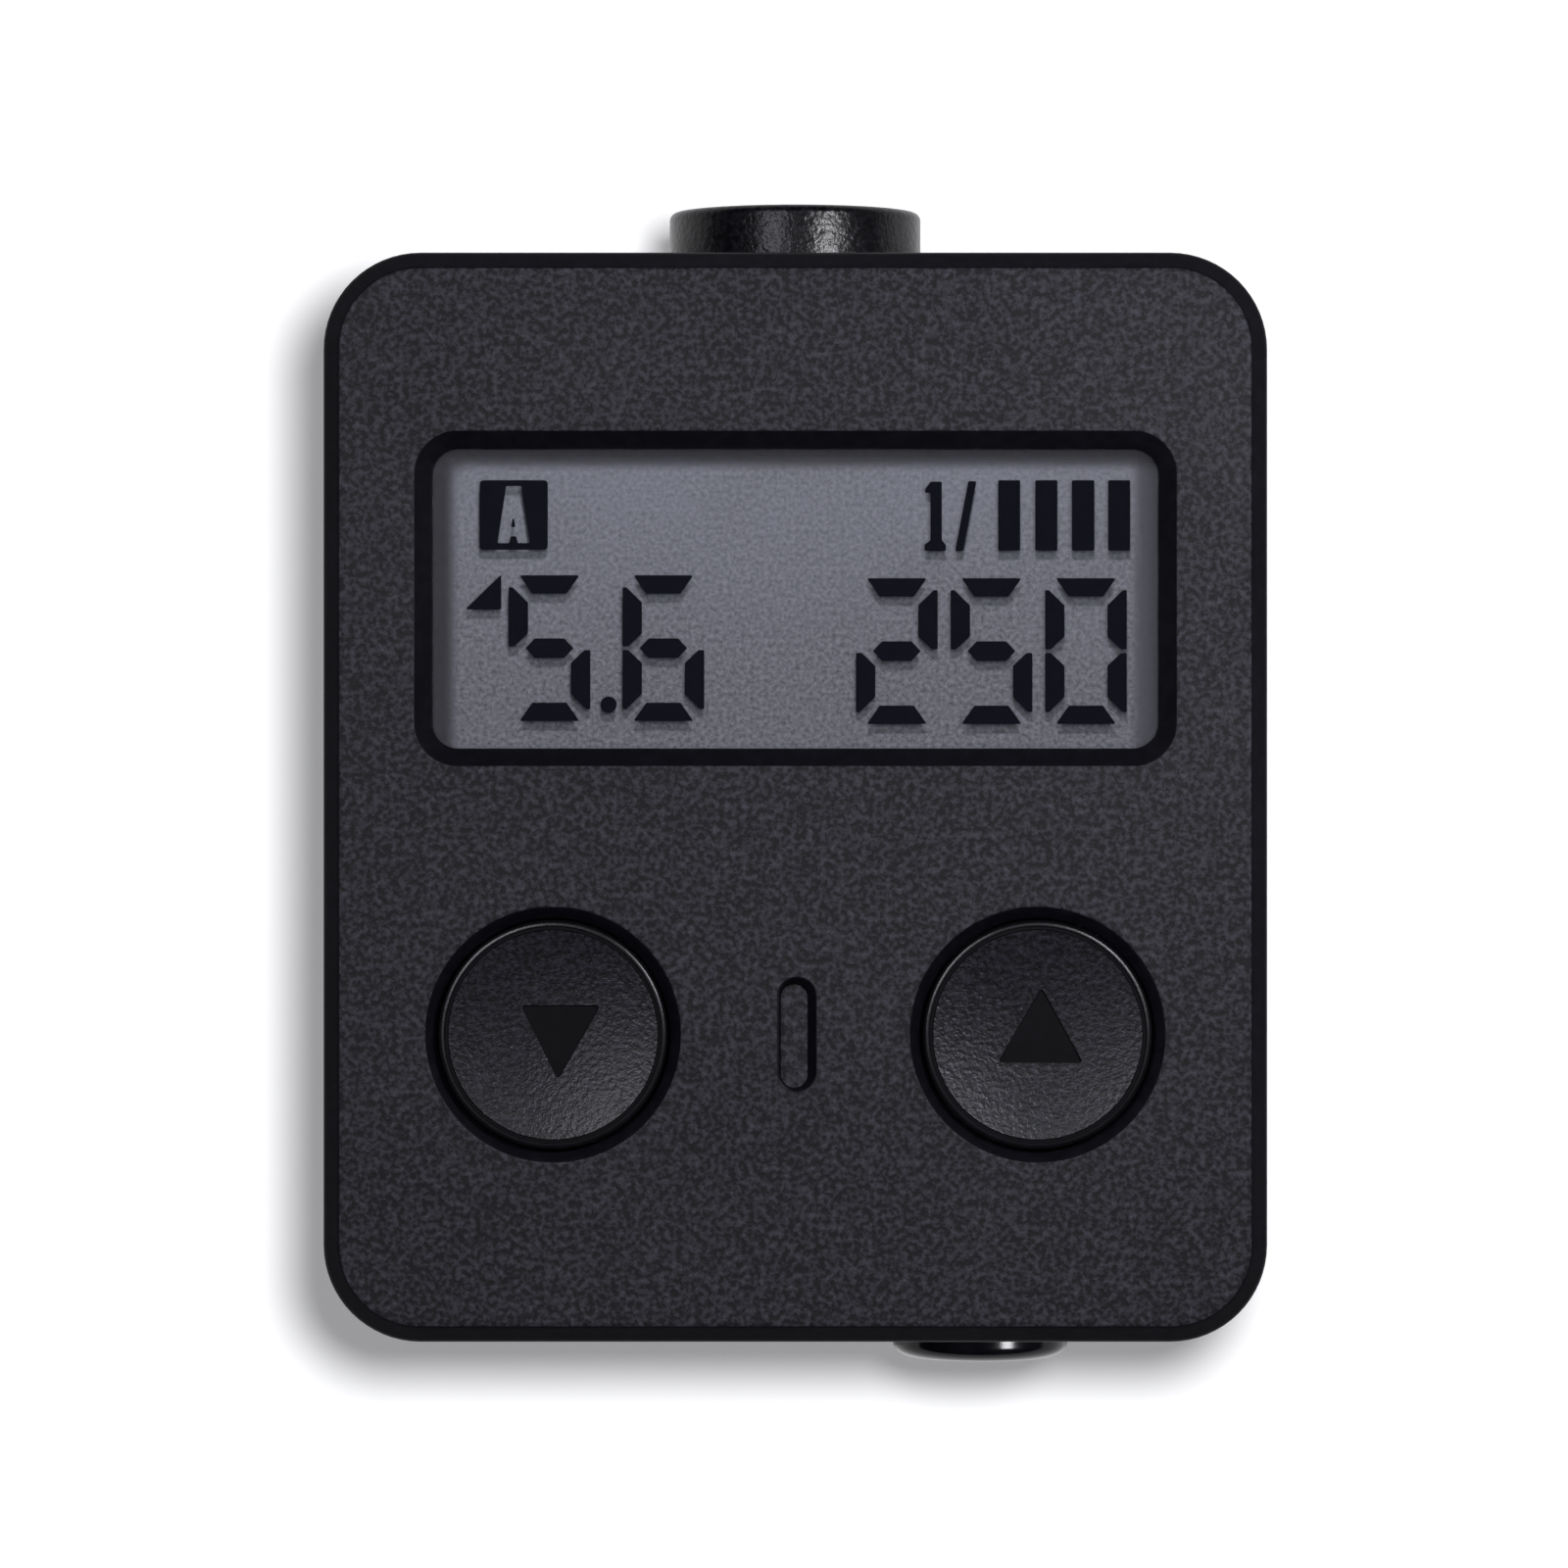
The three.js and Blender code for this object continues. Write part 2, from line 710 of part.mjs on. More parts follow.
// Places of the pegs that fix the display frame to the board
function pegPlaces() {
  const x = glassHalfWidth - holderLedge / 2;
  const ys = [ledgeRearY + holderLedge / 2, glassFrontY - holderLedge / 2];
  return ys.flatMap((y) => [[x, y], [-x, y]]);
}

function lcdHolder() {
  const frameTop = frontGlassBottom + glassThickness;
  const width = holderHalfWidth;
  const outer = slabBetween(-width, holderRearY, width, holderFrontY, frameTop - boardTop, boardTop);
  const pocketX = glassHalfWidth + displayGap;
  const pocket = slabBetween(
    -pocketX, ledgeRearY - displayGap, pocketX, glassFrontY + displayGap, frameTop, reflectorBottom,
  );
  const holeX = glassHalfWidth - holderLedge;
  const holeRear = glassRearY + holderLedge;
  const hole = slabBetween(-holeX, holeRear, holeX, glassFrontY - holderLedge, frameTop, 0);
  const slotWidth = stripWidth + 2 * fitGap;
  const slot = block(slotWidth, stripThickness + 2 * fitGap, frameTop, 0, stripCentreY(), 0);
  let frame = cut(outer, pocket, hole, slot);
  for (const [x, y] of pegPlaces()) {
    const length = boardThickness + pegRadius;
    frame = frame.add(disc(pegRadius, length, x, y, boardHeight, pegRadius, smallSides));
  }
  return named('lcd_holder', frame, finishes.innerPlastic);
}

// Main board with corner notches at the bosses and a stepped notch for the thumb switch
function mainBoard() {
  let board = slabBetween(
    -boardHalfWidth, boardRearY, boardHalfWidth, boardFrontY, boardThickness, boardHeight,
  );
  const cutBottom = boardHeight - overrun;
  const cutHeight = boardThickness + 2 * overrun;
  for (const side of [-1, 1]) {
    const notchX = side * (bossX + overrun);
    const notchWidth = 2 * (bossRadius + fitGap + overrun);
    const notchY = -bossY - overrun;
    board = board.subtract(block(notchWidth, notchWidth, cutHeight, notchX, notchY, cutBottom));
  }
  const rearFace = -bodyLength / 2;
  const flangeRoom = thumbFlangeRadius + runGap;
  const flangeNotch = slabBetween(
    thumbX - flangeRoom, rearFace, thumbX + flangeRoom, rearFace + thumbSwitchFront, cutHeight, cutBottom,
  );
  const half = switchSize / 2;
  const switchNotch = slabBetween(
    thumbX - half, rearFace, thumbX + half, rearFace + thumbSwitchRear, cutHeight, cutBottom,
  );
  board = cut(board, flangeNotch, switchNotch);
  for (const [x, y] of pegPlaces()) {
    const radius = pegRadius + fitGap;
    board = board.subtract(disc(radius, cutHeight, x, y, cutBottom, radius, smallSides));
  }
  return named('main_board', board, finishes.board);
}

// A small moulded component with a chamfered top, standing on the board
function boardPart(name, width, length, height, x, y, material) {
  const foot = block(width, length, height - partEdge, 0, 0, 0);
  const cap = block(width - 2 * partEdge, length - 2 * partEdge, height, 0, 0, 0);
  const part = named(name, join(foot, cap), material);
  part.position.set(x, y, boardTop);
  return part;
}

function boardParts() {
  const parts = [
    boardPart('controller_chip', chipSize, chipSize, chipThickness, chipX, openingY, finishes.chip),
    boardPart(
      'timing_crystal', crystalWidth, crystalLength, crystalThickness, crystalX, openingY, finishes.steel,
    ),
  ];
  for (let i = 0; i < capacitorCount; i += 1) {
    const x = crystalX + (i - 1) * capacitorPitch;
    const name = `chip_capacitor_${i + 1}`;
    const y = openingY - capacitorDrop;
    const sizes = [capacitorWidth, capacitorLength, capacitorThickness];
    parts.push(boardPart(name, ...sizes, x, y, finishes.ceramic));
  }
  return parts;
}

// A key: dished cap, wide flange under the top wall, tab against turning, and stem to the switch
function keyCap(name) {
  const top = bodyHeight + capProud;
  const rimInner = capRadius - capEdge - capRimWidth;
  const profile = new THREE.Path();
  profile.moveTo(0, plungerTop);
  profile.lineTo(stemRadius, plungerTop);
  profile.lineTo(stemRadius, flangeBottom);
  profile.lineTo(flangeRadius, flangeBottom);
  profile.lineTo(flangeRadius, flangeTop);
  profile.lineTo(capRadius, flangeTop);
  profile.absarc(capRadius - capEdge, top - capEdge, capEdge, 0, Math.PI / 2);
  profile.lineTo(rimInner, top);
  for (let i = 1; i <= dishSteps; i += 1) {
    const share = 1 - i / dishSteps;
    profile.lineTo(rimInner * share, top - dishDepth * (1 - share * share));
  }
  const tabReach = flangeRadius + keyTabLength - stemRadius;
  const tabY = stemRadius + tabReach / 2;
  const tab = block(keyTabWidth, tabReach, flangeThickness, 0, tabY, flangeBottom);
  return named(name, turned(profile).add(tab), finishes.keyPlastic);
}

// A tact switch body with the well that its plunger sinks into
function tactSwitch(name) {
  const base = block(switchSize, switchSize, switchHeight - partEdge, 0, 0, boardTop);
  const lid = block(switchSize - switchEdge, switchSize - switchEdge, switchHeight, 0, 0, boardTop);
  const wellDepth = plungerHidden + keyTravel + plungerFloorGap;
  const wellRadius = plungerRadius + runGap;
  const well = disc(wellRadius, wellDepth + overrun, 0, 0, switchTop - wellDepth, wellRadius, smallSides);
  return named(name, cut(join(base, lid), well), finishes.innerPlastic);
}

function keyPlunger(name) {
  const z = plungerTop - plungerLength;
  const plunger = disc(plungerRadius, plungerLength, 0, 0, z, plungerRadius, smallSides);
  return named(name, plunger, finishes.brass);
}

function keyGroup(side, word) {
  const group = new THREE.Group();
  group.position.set(side * keySpacing / 2, keyY, 0);
  group.add(keyCap(`button_${word}`), tactSwitch(`switch_${word}`), keyPlunger(`plunger_${word}`));
  return group;
}

// Thumb button: a crowned round head in the rear wall, a flange inside it and a stem
function thumbButton() {
  const rim = thumbProud - thumbCrown;
  const profile = new THREE.Path();
  profile.moveTo(0, -thumbPlungerFront);
  profile.lineTo(stemRadius, -thumbPlungerFront);
  profile.lineTo(stemRadius, -thumbFlangeRear);
  profile.lineTo(thumbFlangeRadius, -thumbFlangeRear);
  profile.lineTo(thumbFlangeRadius, -thumbFlangeFront);
  profile.lineTo(thumbRadius, -thumbFlangeFront);
  profile.absarc(thumbRadius - thumbEdge, rim - thumbEdge, thumbEdge, 0, Math.PI / 2);
  for (let i = 1; i <= dishSteps; i += 1) {
    const share = 1 - i / dishSteps;
    profile.lineTo((thumbRadius - thumbEdge) * share, rim + thumbCrown * (1 - share * share));
  }
  return named('measure_button', turnedBackward(profile), finishes.glossPlastic);
}

function thumbGroup() {
  const group = new THREE.Group();
  group.position.set(thumbX, -bodyLength / 2, thumbHeight);
  const wellDepth = thumbSwitchGap + plungerHidden + thumbTravel;
  const wellRadius = plungerRadius + runGap;
  const half = switchSize / 2;
  const body = slabBetween(
    -half, thumbSwitchFront, half, thumbSwitchRear, thumbSwitchHeight, -thumbSwitchHeight / 2,
  );
  const well = bar(wellRadius, 0, thumbSwitchFront + wellDepth, 0, 0, wellRadius, smallSides);
  const plungerRear = thumbSwitchFront + plungerHidden;
  const plunger = bar(plungerRadius, thumbPlungerFront, plungerRear, 0, 0, plungerRadius, smallSides);
  group.add(
    thumbButton(),
    named('measure_switch', body.subtract(well), finishes.innerPlastic),
    named('measure_plunger', plunger, finishes.brass),
  );
  return group;
}

// Sensor hood: a barrel with a tapered mouth, held by a flange behind the front wall
function sensorHood() {
  const pocketRadius = lensRadius + fitGap;
  const flangeFront = -wall - flangeStopGap;
  const flangeRear = flangeFront - flangeThickness;
  const flangeEdge = spigotRadius + hoodFlangeOverhang;
  const throatFront = -lensSetback + throatLength;
  const profile = new THREE.Path();
  profile.moveTo(pocketRadius, -spigotLength);
  profile.lineTo(spigotRadius, -spigotLength);
  profile.lineTo(spigotRadius, flangeRear);
  profile.lineTo(flangeEdge, flangeRear);
  profile.lineTo(flangeEdge, flangeFront);
  profile.lineTo(spigotRadius, flangeFront);
  profile.lineTo(spigotRadius, 0);
  profile.lineTo(hoodRadius, 0);
  profile.absarc(hoodRadius - hoodEdge, hoodProud - hoodEdge, hoodEdge, 0, Math.PI / 2);
  profile.lineTo(mouthRadius, hoodProud);
  profile.lineTo(throatRadius, throatFront);
  profile.lineTo(throatRadius, -lensSetback);
  profile.lineTo(pocketRadius, -lensSetback);
  profile.lineTo(pocketRadius, -spigotLength);
  return named('sensor_hood', turnedForward(profile), finishes.glossPlastic);
}

// Lens with a flat back, a flat rim against the hood and a dome in its throat
function sensorLens() {
  const rear = -lensSetback - lensEdgeThickness;
  const domeFoot = lensRadius - lensRim;
  const profile = profileThrough([0, rear], [lensRadius, rear], [lensRadius, -lensSetback]);
  for (let i = dishSteps; i >= 0; i -= 1) {
    const share = i / dishSteps;
    profile.lineTo(domeFoot * share, -lensSetback + lensDome * (1 - share * share));
  }
  return named('sensor_lens', turnedForward(profile, arcSteps, smallSides), finishes.glass);
}

function lightBaffle() {
  const front = lensRearY - bodyLength / 2;
  const rear = front - baffleLength;
  const frontRadius = lensRadius - lensRim;
  const profile = profileThrough(
    [baffleRearRadius, rear], [lensRadius, rear], [lensRadius, front],
    [frontRadius, front], [baffleRearRadius, rear],
  );
  return named('light_baffle', turnedForward(profile, arcSteps, smallSides), finishes.innerPlastic);
}

function sensorGroup() {
  const group = new THREE.Group();
  group.position.set(0, bodyLength / 2, sensorHeight);
  const boardRear = boardFrontY - bodyLength / 2;
  const boardFront = boardRear + sensorBoardThickness;
  const diodeFront = boardFront + diodeThickness;
  const board = slabBetween(
    -sensorBoardWidth / 2, boardRear, sensorBoardWidth / 2, boardFront,
    sensorBoardHeight, -sensorBoardHeight / 2,
  );
  const diode = slabBetween(
    -diodeWidth / 2, boardFront, diodeWidth / 2, diodeFront, diodeHeight, -diodeHeight / 2,
  );
  group.add(
    sensorHood(),
    sensorLens(),
    lightBaffle(),
    named('sensor_board', board, finishes.board),
    named('photodiode', diode, finishes.chip),
  );
  return group;
}

// Coin cell: a can crimped over its cap, which faces down
function coinCell() {
  const canBottom = cellCapProud;
  const profile = new THREE.Path();
  profile.moveTo(0, cellCapThickness);
  profile.lineTo(cellCapRadius + gasketGap, cellCapThickness);
  profile.lineTo(cellCapRadius + gasketGap, canBottom);
  profile.lineTo(cellRadius - cellEdge, canBottom);
  profile.absarc(cellRadius - cellEdge, canBottom + cellEdge, cellEdge, -Math.PI / 2, 0);
  profile.lineTo(cellRadius, cellHeight - cellEdge / 2);
  profile.lineTo(cellRadius - cellEdge / 2, cellHeight);
  profile.lineTo(0, cellHeight);
  return [
    named('cell_can', turned(profile), finishes.steel),
    named('cell_cap', disc(cellCapRadius, cellCapThickness, 0, 0, 0), finishes.steel),
  ];
}

// Battery tray: a frame round the cell, with a door that closes the slot in the left wall
function batteryTray() {
  const bodyLeft = -innerX - cellX - trayFrontBar / 2;
  const bodyRight = trayRightX - cellX;
  const wallHeight = cellHeight + trayFloor - trayWallDrop;
  const round = trayCornerRadius;
  const length = bodyRight - bodyLeft;
  const frame = plate(
    length + round, 2 * trayHalfWidth, round, wallHeight, (bodyLeft - round + bodyRight) / 2, 0, -trayFloor,
  ).intersect(slabBetween(bodyLeft, -trayHalfWidth, bodyRight, trayHalfWidth, wallHeight, -trayFloor));
  const doorLeft = -bodyWidth / 2 - cellX;
  const doorHeight = partingHeight - trayBottom;
  const door = slabBetween(
    doorLeft, -doorHalfWidth, doorLeft + wall, doorHalfWidth, doorHeight, -trayFloor,
  );
  const slotCut = trayFloor + leafTouchGap + overrun;
  const slotSide = leafSlotWidth / 2;
  const leafSlot = slabBetween(
    -pushHoleRadius, -slotSide, bodyRight + overrun, slotSide, slotCut, -trayFloor - overrun,
  );
  const tray = cut(
    join(frame, door),
    disc(pocketRadius, cellHeight + overrun, 0, 0, 0),
    disc(pushHoleRadius, cellHeight, 0, 0, -cellHeight / 2, pushHoleRadius, smallSides),
    leafSlot,
    nailScoop(doorLeft, doorHeight / 2 - trayFloor),
  );
  return named('battery_tray', tray, finishes.casePlastic);
}

function nailScoop(doorLeft, z) {
  const x = doorLeft + nailScoopDepth - nailScoopRadius;
  const geometry = new THREE.CapsuleGeometry(nailScoopRadius, nailScoopLength, edgeSteps, smallSides);
  return solidOf(geometry.translate(x, 0, z));
}

function trayGroup() {
  const group = new THREE.Group();
  group.position.set(cellX, trayY, cellBottom);
  group.add(batteryTray(), ...coinCell());
  return group;
}

// A bent strip of sheet metal, given by the line of its upper side, with its width along Y
function bentLeaf(line) {
  const lower = line.map(([x, z]) => [x, z - leafThickness]).reverse();
  const outline = new THREE.Shape([...line, ...lower].map(([x, z]) => new THREE.Vector2(x, z)));
  const geometry = new THREE.ExtrudeGeometry(outline, { depth: leafWidth, bevelEnabled: false });
  geometry.rotateX(Math.PI / 2);
  return solidOf(geometry.translate(0, leafWidth / 2, 0));
}

function contact(name, solid) {
  const mesh = named(name, solid, finishes.brass);
  mesh.position.set(cellX, trayY, 0);
  return mesh;
}

// The lower leaf lies on the floor, rises under the cell and has a riser to the board
function negativeContact() {
  const low = floorThickness + leafThickness;
  const high = cellBottom - leafTouchGap;
  const riserX = stopX - cellX + stopThickness / 2 + runGap;
  const leaf = bentLeaf([
    [-leafTip, high - leafThickness], [0, high], [leafTip, high], [leafReach, low], [riserX, low],
  ]);
  const riserHeight = boardHeight - floorThickness;
  const riser = block(2 * leafThickness, leafWidth, riserHeight, riserX, 0, floorThickness);
  return contact('contact_negative', leaf.add(riser));
}

// The upper leaf hangs from the board and presses on the can
function positiveContact() {
  const low = cellTop + leafTouchGap + leafThickness;
  return contact('contact_positive', bentLeaf([
    [-leafReach - leafFoot, boardHeight], [-leafReach, boardHeight],
    [-leafTip, low], [leafTip, low], [2 * leafTip, low + leafThickness],
  ]));
}

// Assembly
const meter = new THREE.Group();
meter.add(shoeFoot());

const housing = new THREE.Group();
housing.position.z = footHeight;
housing.add(topShell(), bottomCover(), displayWindow(), ...display(), lcdHolder(), contactStrip());
housing.add(mainBoard(), ...boardParts(), negativeContact(), positiveContact());
housing.add(keyGroup(-1, 'down'), keyGroup(1, 'up'), thumbGroup(), sensorGroup(), trayGroup());
cornerSigns.forEach(([signX, signY], i) => {
  housing.add(caseScrew(i + 1, signX, signY), footScrew(i + 1, signX, signY));
});
meter.add(housing);

export default meter;
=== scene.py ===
import math

import bmesh
import bpy
from mathutils import Matrix, Vector


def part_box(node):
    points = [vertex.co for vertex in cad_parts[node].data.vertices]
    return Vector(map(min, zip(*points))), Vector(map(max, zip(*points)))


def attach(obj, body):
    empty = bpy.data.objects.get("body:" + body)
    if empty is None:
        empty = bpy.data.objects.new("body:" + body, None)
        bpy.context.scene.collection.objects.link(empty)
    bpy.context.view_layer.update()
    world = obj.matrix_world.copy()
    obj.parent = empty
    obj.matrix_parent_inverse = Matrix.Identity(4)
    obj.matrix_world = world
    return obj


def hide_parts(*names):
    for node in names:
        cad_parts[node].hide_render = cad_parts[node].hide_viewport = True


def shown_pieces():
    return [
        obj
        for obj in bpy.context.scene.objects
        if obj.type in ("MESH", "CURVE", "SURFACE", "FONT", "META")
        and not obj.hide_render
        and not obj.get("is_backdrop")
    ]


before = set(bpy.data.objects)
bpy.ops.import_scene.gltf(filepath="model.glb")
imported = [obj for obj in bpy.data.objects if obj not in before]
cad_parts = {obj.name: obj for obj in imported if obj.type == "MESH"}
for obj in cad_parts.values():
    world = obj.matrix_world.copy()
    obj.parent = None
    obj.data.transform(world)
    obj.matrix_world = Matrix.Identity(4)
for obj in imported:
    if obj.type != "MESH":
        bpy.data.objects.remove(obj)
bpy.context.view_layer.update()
scene = bpy.context.scene
scene.view_settings.view_transform = "Standard"
scene.cycles.transparent_max_bounces = 32  # light crosses eight clear faces on its way to the display's film
mm = 0.001  # sizes below are in millimetres, Blender's are in metres
past = 1.0  # how far a cutting tool reaches past the solid that it cuts
leftRight = (-1, 1)
print("frame loaded:", len(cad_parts), "nodes")


# A CAD node's lowest and highest corners in millimetres
def corners(node):
    low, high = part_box(node)
    return low / mm, high / mm


def centre(node):
    low, high = corners(node)
    return (low + high) / 2


# Mesh helpers. Points are in millimetres, and the faces are turned outwards here
def newPiece(name, points, faces):
    mesh = bpy.data.meshes.new(name)
    mesh.from_pydata([Vector(point) * mm for point in points], [], faces)
    shape = bmesh.new()
    shape.from_mesh(mesh)
    bmesh.ops.recalc_face_normals(shape, faces=shape.faces)
    shape.to_mesh(mesh)
    shape.free()
    piece = bpy.data.objects.new(name, mesh)
    scene.collection.objects.link(piece)
    return piece


def roundedOutline(width, length, radius, x, y, z, steps=12):
    outline = []
    for corner, (sideX, sideY) in enumerate(((1, 1), (-1, 1), (-1, -1), (1, -1))):
        for i in range(steps + 1):
            angle = math.pi / 2 * (corner + i / steps)
            outline.append((
                x + sideX * (width / 2 - radius) + radius * math.cos(angle),
                y + sideY * (length / 2 - radius) + radius * math.sin(angle), z))
    return outline


# A solid through outlines that all have the same number of points
def lofted(name, outlines):
    count = len(outlines[0])
    points = [point for outline in outlines for point in outline]
    faces = [tuple(range(count)), tuple(range(len(points) - count, len(points)))]
    for start in range(0, len(points) - count, count):
        for i in range(count):
            j = (i + 1) % count
            faces.append((start + i, start + j, start + count + j, start + count + i))
    return newPiece(name, points, faces)


# The same from a rounded rectangle and a profile of (distance inside it, height)
def roundedSolid(name, width, length, radius, profile, x=0, y=0, steps=12, leastRadius=0.02):
    outlines = []
    for inset, z in profile:
        corner = max(radius - inset, leastRadius)
        outlines.append(roundedOutline(width - 2 * inset, length - 2 * inset, corner, x, y, z, steps))
    return lofted(name, outlines)


def block(name, left, rear, low, right, front, high):
    return lofted(name, [[(left, rear, z), (right, rear, z), (right, front, z), (left, front, z)]
                         for z in (low, high)])


# A plate with the given outline between two heights
def prism(name, outline, low, high):
    return lofted(name, [[(x, y, z) for x, y in outline] for z in (low, high)])


# A solid of revolution from a profile of (radius, height); place turns it from standing on Z
def turned(name, profile, place, sides=64):
    points, rows, faces = [], [], []
    for radius, height in profile:
        turns = sides if radius > 0 else 1
        rows.append([len(points) + i % turns for i in range(sides)])
        for i in range(turns):
            angle = 2 * math.pi * i / sides
            points.append(place @ Vector((radius * math.cos(angle), radius * math.sin(angle), height)))
    if profile[0][0] > 0:
        rows.append(rows[0])
    for lower, upper in zip(rows, rows[1:]):
        for i in range(sides):
            j = (i + 1) % sides
            ring = tuple(dict.fromkeys((lower[i], lower[j], upper[j], upper[i])))
            if len(ring) > 2:
                faces.append(ring)
    return newPiece(name, points, faces)


def upright(x, y, z=0):
    return Matrix.Translation((x, y, z))


def lyingForward(x, y, z):
    return Matrix.Translation((x, y, z)) @ Matrix.Rotation(-math.pi / 2, 4, "X")


def lyingBackward(x, y, z):
    return Matrix.Translation((x, y, z)) @ Matrix.Rotation(math.pi / 2, 4, "X")


# Points of a quarter circle, as (across, up) from its centre, from the side to the top
def quarter(radius, steps):
    return [(radius * math.cos(math.pi / 2 * i / steps), radius * math.sin(math.pi / 2 * i / steps))
            for i in range(steps + 1)]


# Shares of a radius in equal steps from its end to the axis
def inwards(steps):
    return [1 - i / steps for i in range(steps + 1)]


def rod(name, radius, low, high, place, sides=64):
    return turned(name, [(0, low), (radius, low), (radius, high), (0, high)], place, sides)


def applied(piece):
    mesh = bpy.data.meshes.new_from_object(piece.evaluated_get(bpy.context.evaluated_depsgraph_get()))
    old, piece.data = piece.data, mesh
    piece.modifiers.clear()
    bpy.data.meshes.remove(old)
    return piece


# Pieces that don't touch each other, as one mesh
def together(pieces):
    shape = bmesh.new()
    for piece in pieces:
        shape.from_mesh(piece.data)
    shape.to_mesh(pieces[0].data)
    shape.free()
    for piece in pieces[1:]:
        bpy.data.objects.remove(piece)
    return pieces[0]


def combined(piece, operation, *groups):
    for tools in groups:
        tool = together(tools)
        step = piece.modifiers.new("step", "BOOLEAN")
        step.operation = operation
        step.solver = "EXACT"
        step.object = tool
        applied(piece)
        bpy.data.objects.remove(tool)
    return piece


def cutBy(piece, *groups):
    return combined(piece, "DIFFERENCE", *groups)


def addTo(piece, *groups):
    return combined(piece, "UNION", *groups)


def smoothed(piece):
    piece.data.shade_smooth()
    piece.data.set_sharp_from_angle(angle=math.radians(32))  # a step sharper than this stays an edge
    weighted = piece.modifiers.new("normals", "WEIGHTED_NORMAL")
    weighted.keep_sharp = True
    return applied(piece)


def dressed(piece, body, nodes, materials):
    for material in materials:
        piece.data.materials.append(material)
    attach(piece, body)
    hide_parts(*nodes)
    print("made", piece.name, len(piece.data.polygons), "faces")
    return piece


# Material helpers
def toLinear(colour):
    channels = [int(colour[i:i + 2], 16) / 255 for i in (1, 3, 5)]
    return [c / 12.92 if c <= 0.04045 else ((c + 0.055) / 1.055) ** 2.4 for c in channels] + [1.0]


# Adds a node. Each input is a value, a colour in hex, an output socket, or a node whose first working
# output is linked
def addNode(tree, kind, inputs=None, **settings):
    node = tree.nodes.new("ShaderNode" + kind)
    for name, value in settings.items():
        setattr(node, name, value)
    for name, value in (inputs or {}).items():
        if isinstance(value, str):
            value = toLinear(value)
        if isinstance(value, bpy.types.Node):
            value = next(socket for socket in value.outputs if socket.enabled)
        if isinstance(value, bpy.types.NodeSocket):
            tree.links.new(value, node.inputs[name])
        else:
            node.inputs[name].default_value = value
    return node


# A material whose surface the given function makes, from the place on the piece and the look
def newMaterial(name, surface, look):
    material = bpy.data.materials.new(name)
    material.use_nodes = True
    tree = material.node_tree
    tree.nodes.clear()
    place = addNode(tree, "TexCoord").outputs["Object"]
    addNode(tree, "OutputMaterial", {"Surface": surface(tree, place, look)})
    return material


noiseRange = {"From Min": 0.3, "From Max": 0.7}  # nearly all the values of a noise lie between these


# A fine noise, and a colour that goes with it from dark to light between two of its levels
def speckled(tree, place, look, detail=2.0, roughness=0.5, levels=(0.0, 1.0)):
    grain = addNode(tree, "TexNoise", {
        "Vector": place, "Scale": 1 / (look["grain"] * mm), "Detail": detail, "Roughness": roughness})
    level = addNode(tree, "MapRange", {"Value": grain, "From Min": levels[0], "From Max": levels[1]})
    colour = addNode(tree, "Mix", {"Factor": level, "A": look["dark"], "B": look["light"]}, data_type="RGBA")
    return grain, colour


# A moulded plastic with a fine grain: grey specks from the bumps, a slow drift of gloss
def grainedPlastic(tree, place, look):
    grain, colour = speckled(tree, place, look, detail=2.5, roughness=0.6, levels=(0.42, 0.84))
    drift = addNode(tree, "TexNoise", {"Vector": place, "Scale": 1 / (look["drift"] * mm), "Detail": 2.0})
    rough = addNode(tree, "MapRange", {
        "Value": drift, **noiseRange, "To Min": look["roughness"] - 0.03, "To Max": look["roughness"] + 0.03})
    bump = addNode(tree, "Bump", {"Height": grain, "Strength": 1.0, "Distance": look["depth"] * mm})
    return addNode(tree, "BsdfPrincipled", {
        "Base Color": colour, "Roughness": rough, "Normal": bump, "IOR": 1.53,
        "Specular IOR Level": look["specular"]})


# Clear sheet or glass: light goes straight through it, and its faces mirror a little
def clearSheet(tree, place, look):
    haze = addNode(tree, "TexNoise", {"Vector": place, "Scale": 1 / (look["haze"] * mm), "Detail": 3.0})
    rough = addNode(tree, "MapRange", {
        "Value": haze, **noiseRange, "To Min": look["roughness"] * 0.7, "To Max": look["roughness"] * 1.3})
    through = addNode(tree, "BsdfTransparent", {"Color": look["tint"]})
    mirror = addNode(tree, "BsdfGlossy", {"Color": "#ffffff", "Roughness": rough})
    # Fresnel turns the index over at a back face; light that goes straight through needs it unturned
    back = addNode(tree, "NewGeometry").outputs["Backfacing"]
    index = addNode(tree, "MapRange", {"Value": back, "To Min": look["ior"], "To Max": 1 / look["ior"]})
    amount = addNode(tree, "Fresnel", {"IOR": index})
    return addNode(tree, "MixShader", {0: amount, 1: through, 2: mirror})


# Metal with fine scratches or drawn lines along one axis
def workedMetal(tree, place, look):
    stretch = addNode(tree, "Mapping", {"Vector": place, "Scale": look["stretch"]})
    lines, colour = speckled(tree, stretch, look, detail=3.0)
    rough = addNode(tree, "MapRange", {
        "Value": lines, **noiseRange, "To Min": look["roughness"] - 0.06, "To Max": look["roughness"] + 0.06})
    bump = addNode(tree, "Bump", {"Height": lines, "Strength": 0.4, "Distance": 0.004 * mm})
    return addNode(tree, "BsdfPrincipled", {
        "Base Color": colour, "Metallic": 1.0, "Roughness": rough, "Normal": bump})


# Black ABS moulded in a spark-eroded tool: dark grey with a fine grain of lighter specks
caseGrain = newMaterial("moulded_abs_spark_eroded", grainedPlastic, {
    "dark": "#151517", "light": "#53525a", "roughness": 0.66, "specular": 0.3,
    "grain": 0.22, "drift": 9.0, "depth": 0.03})

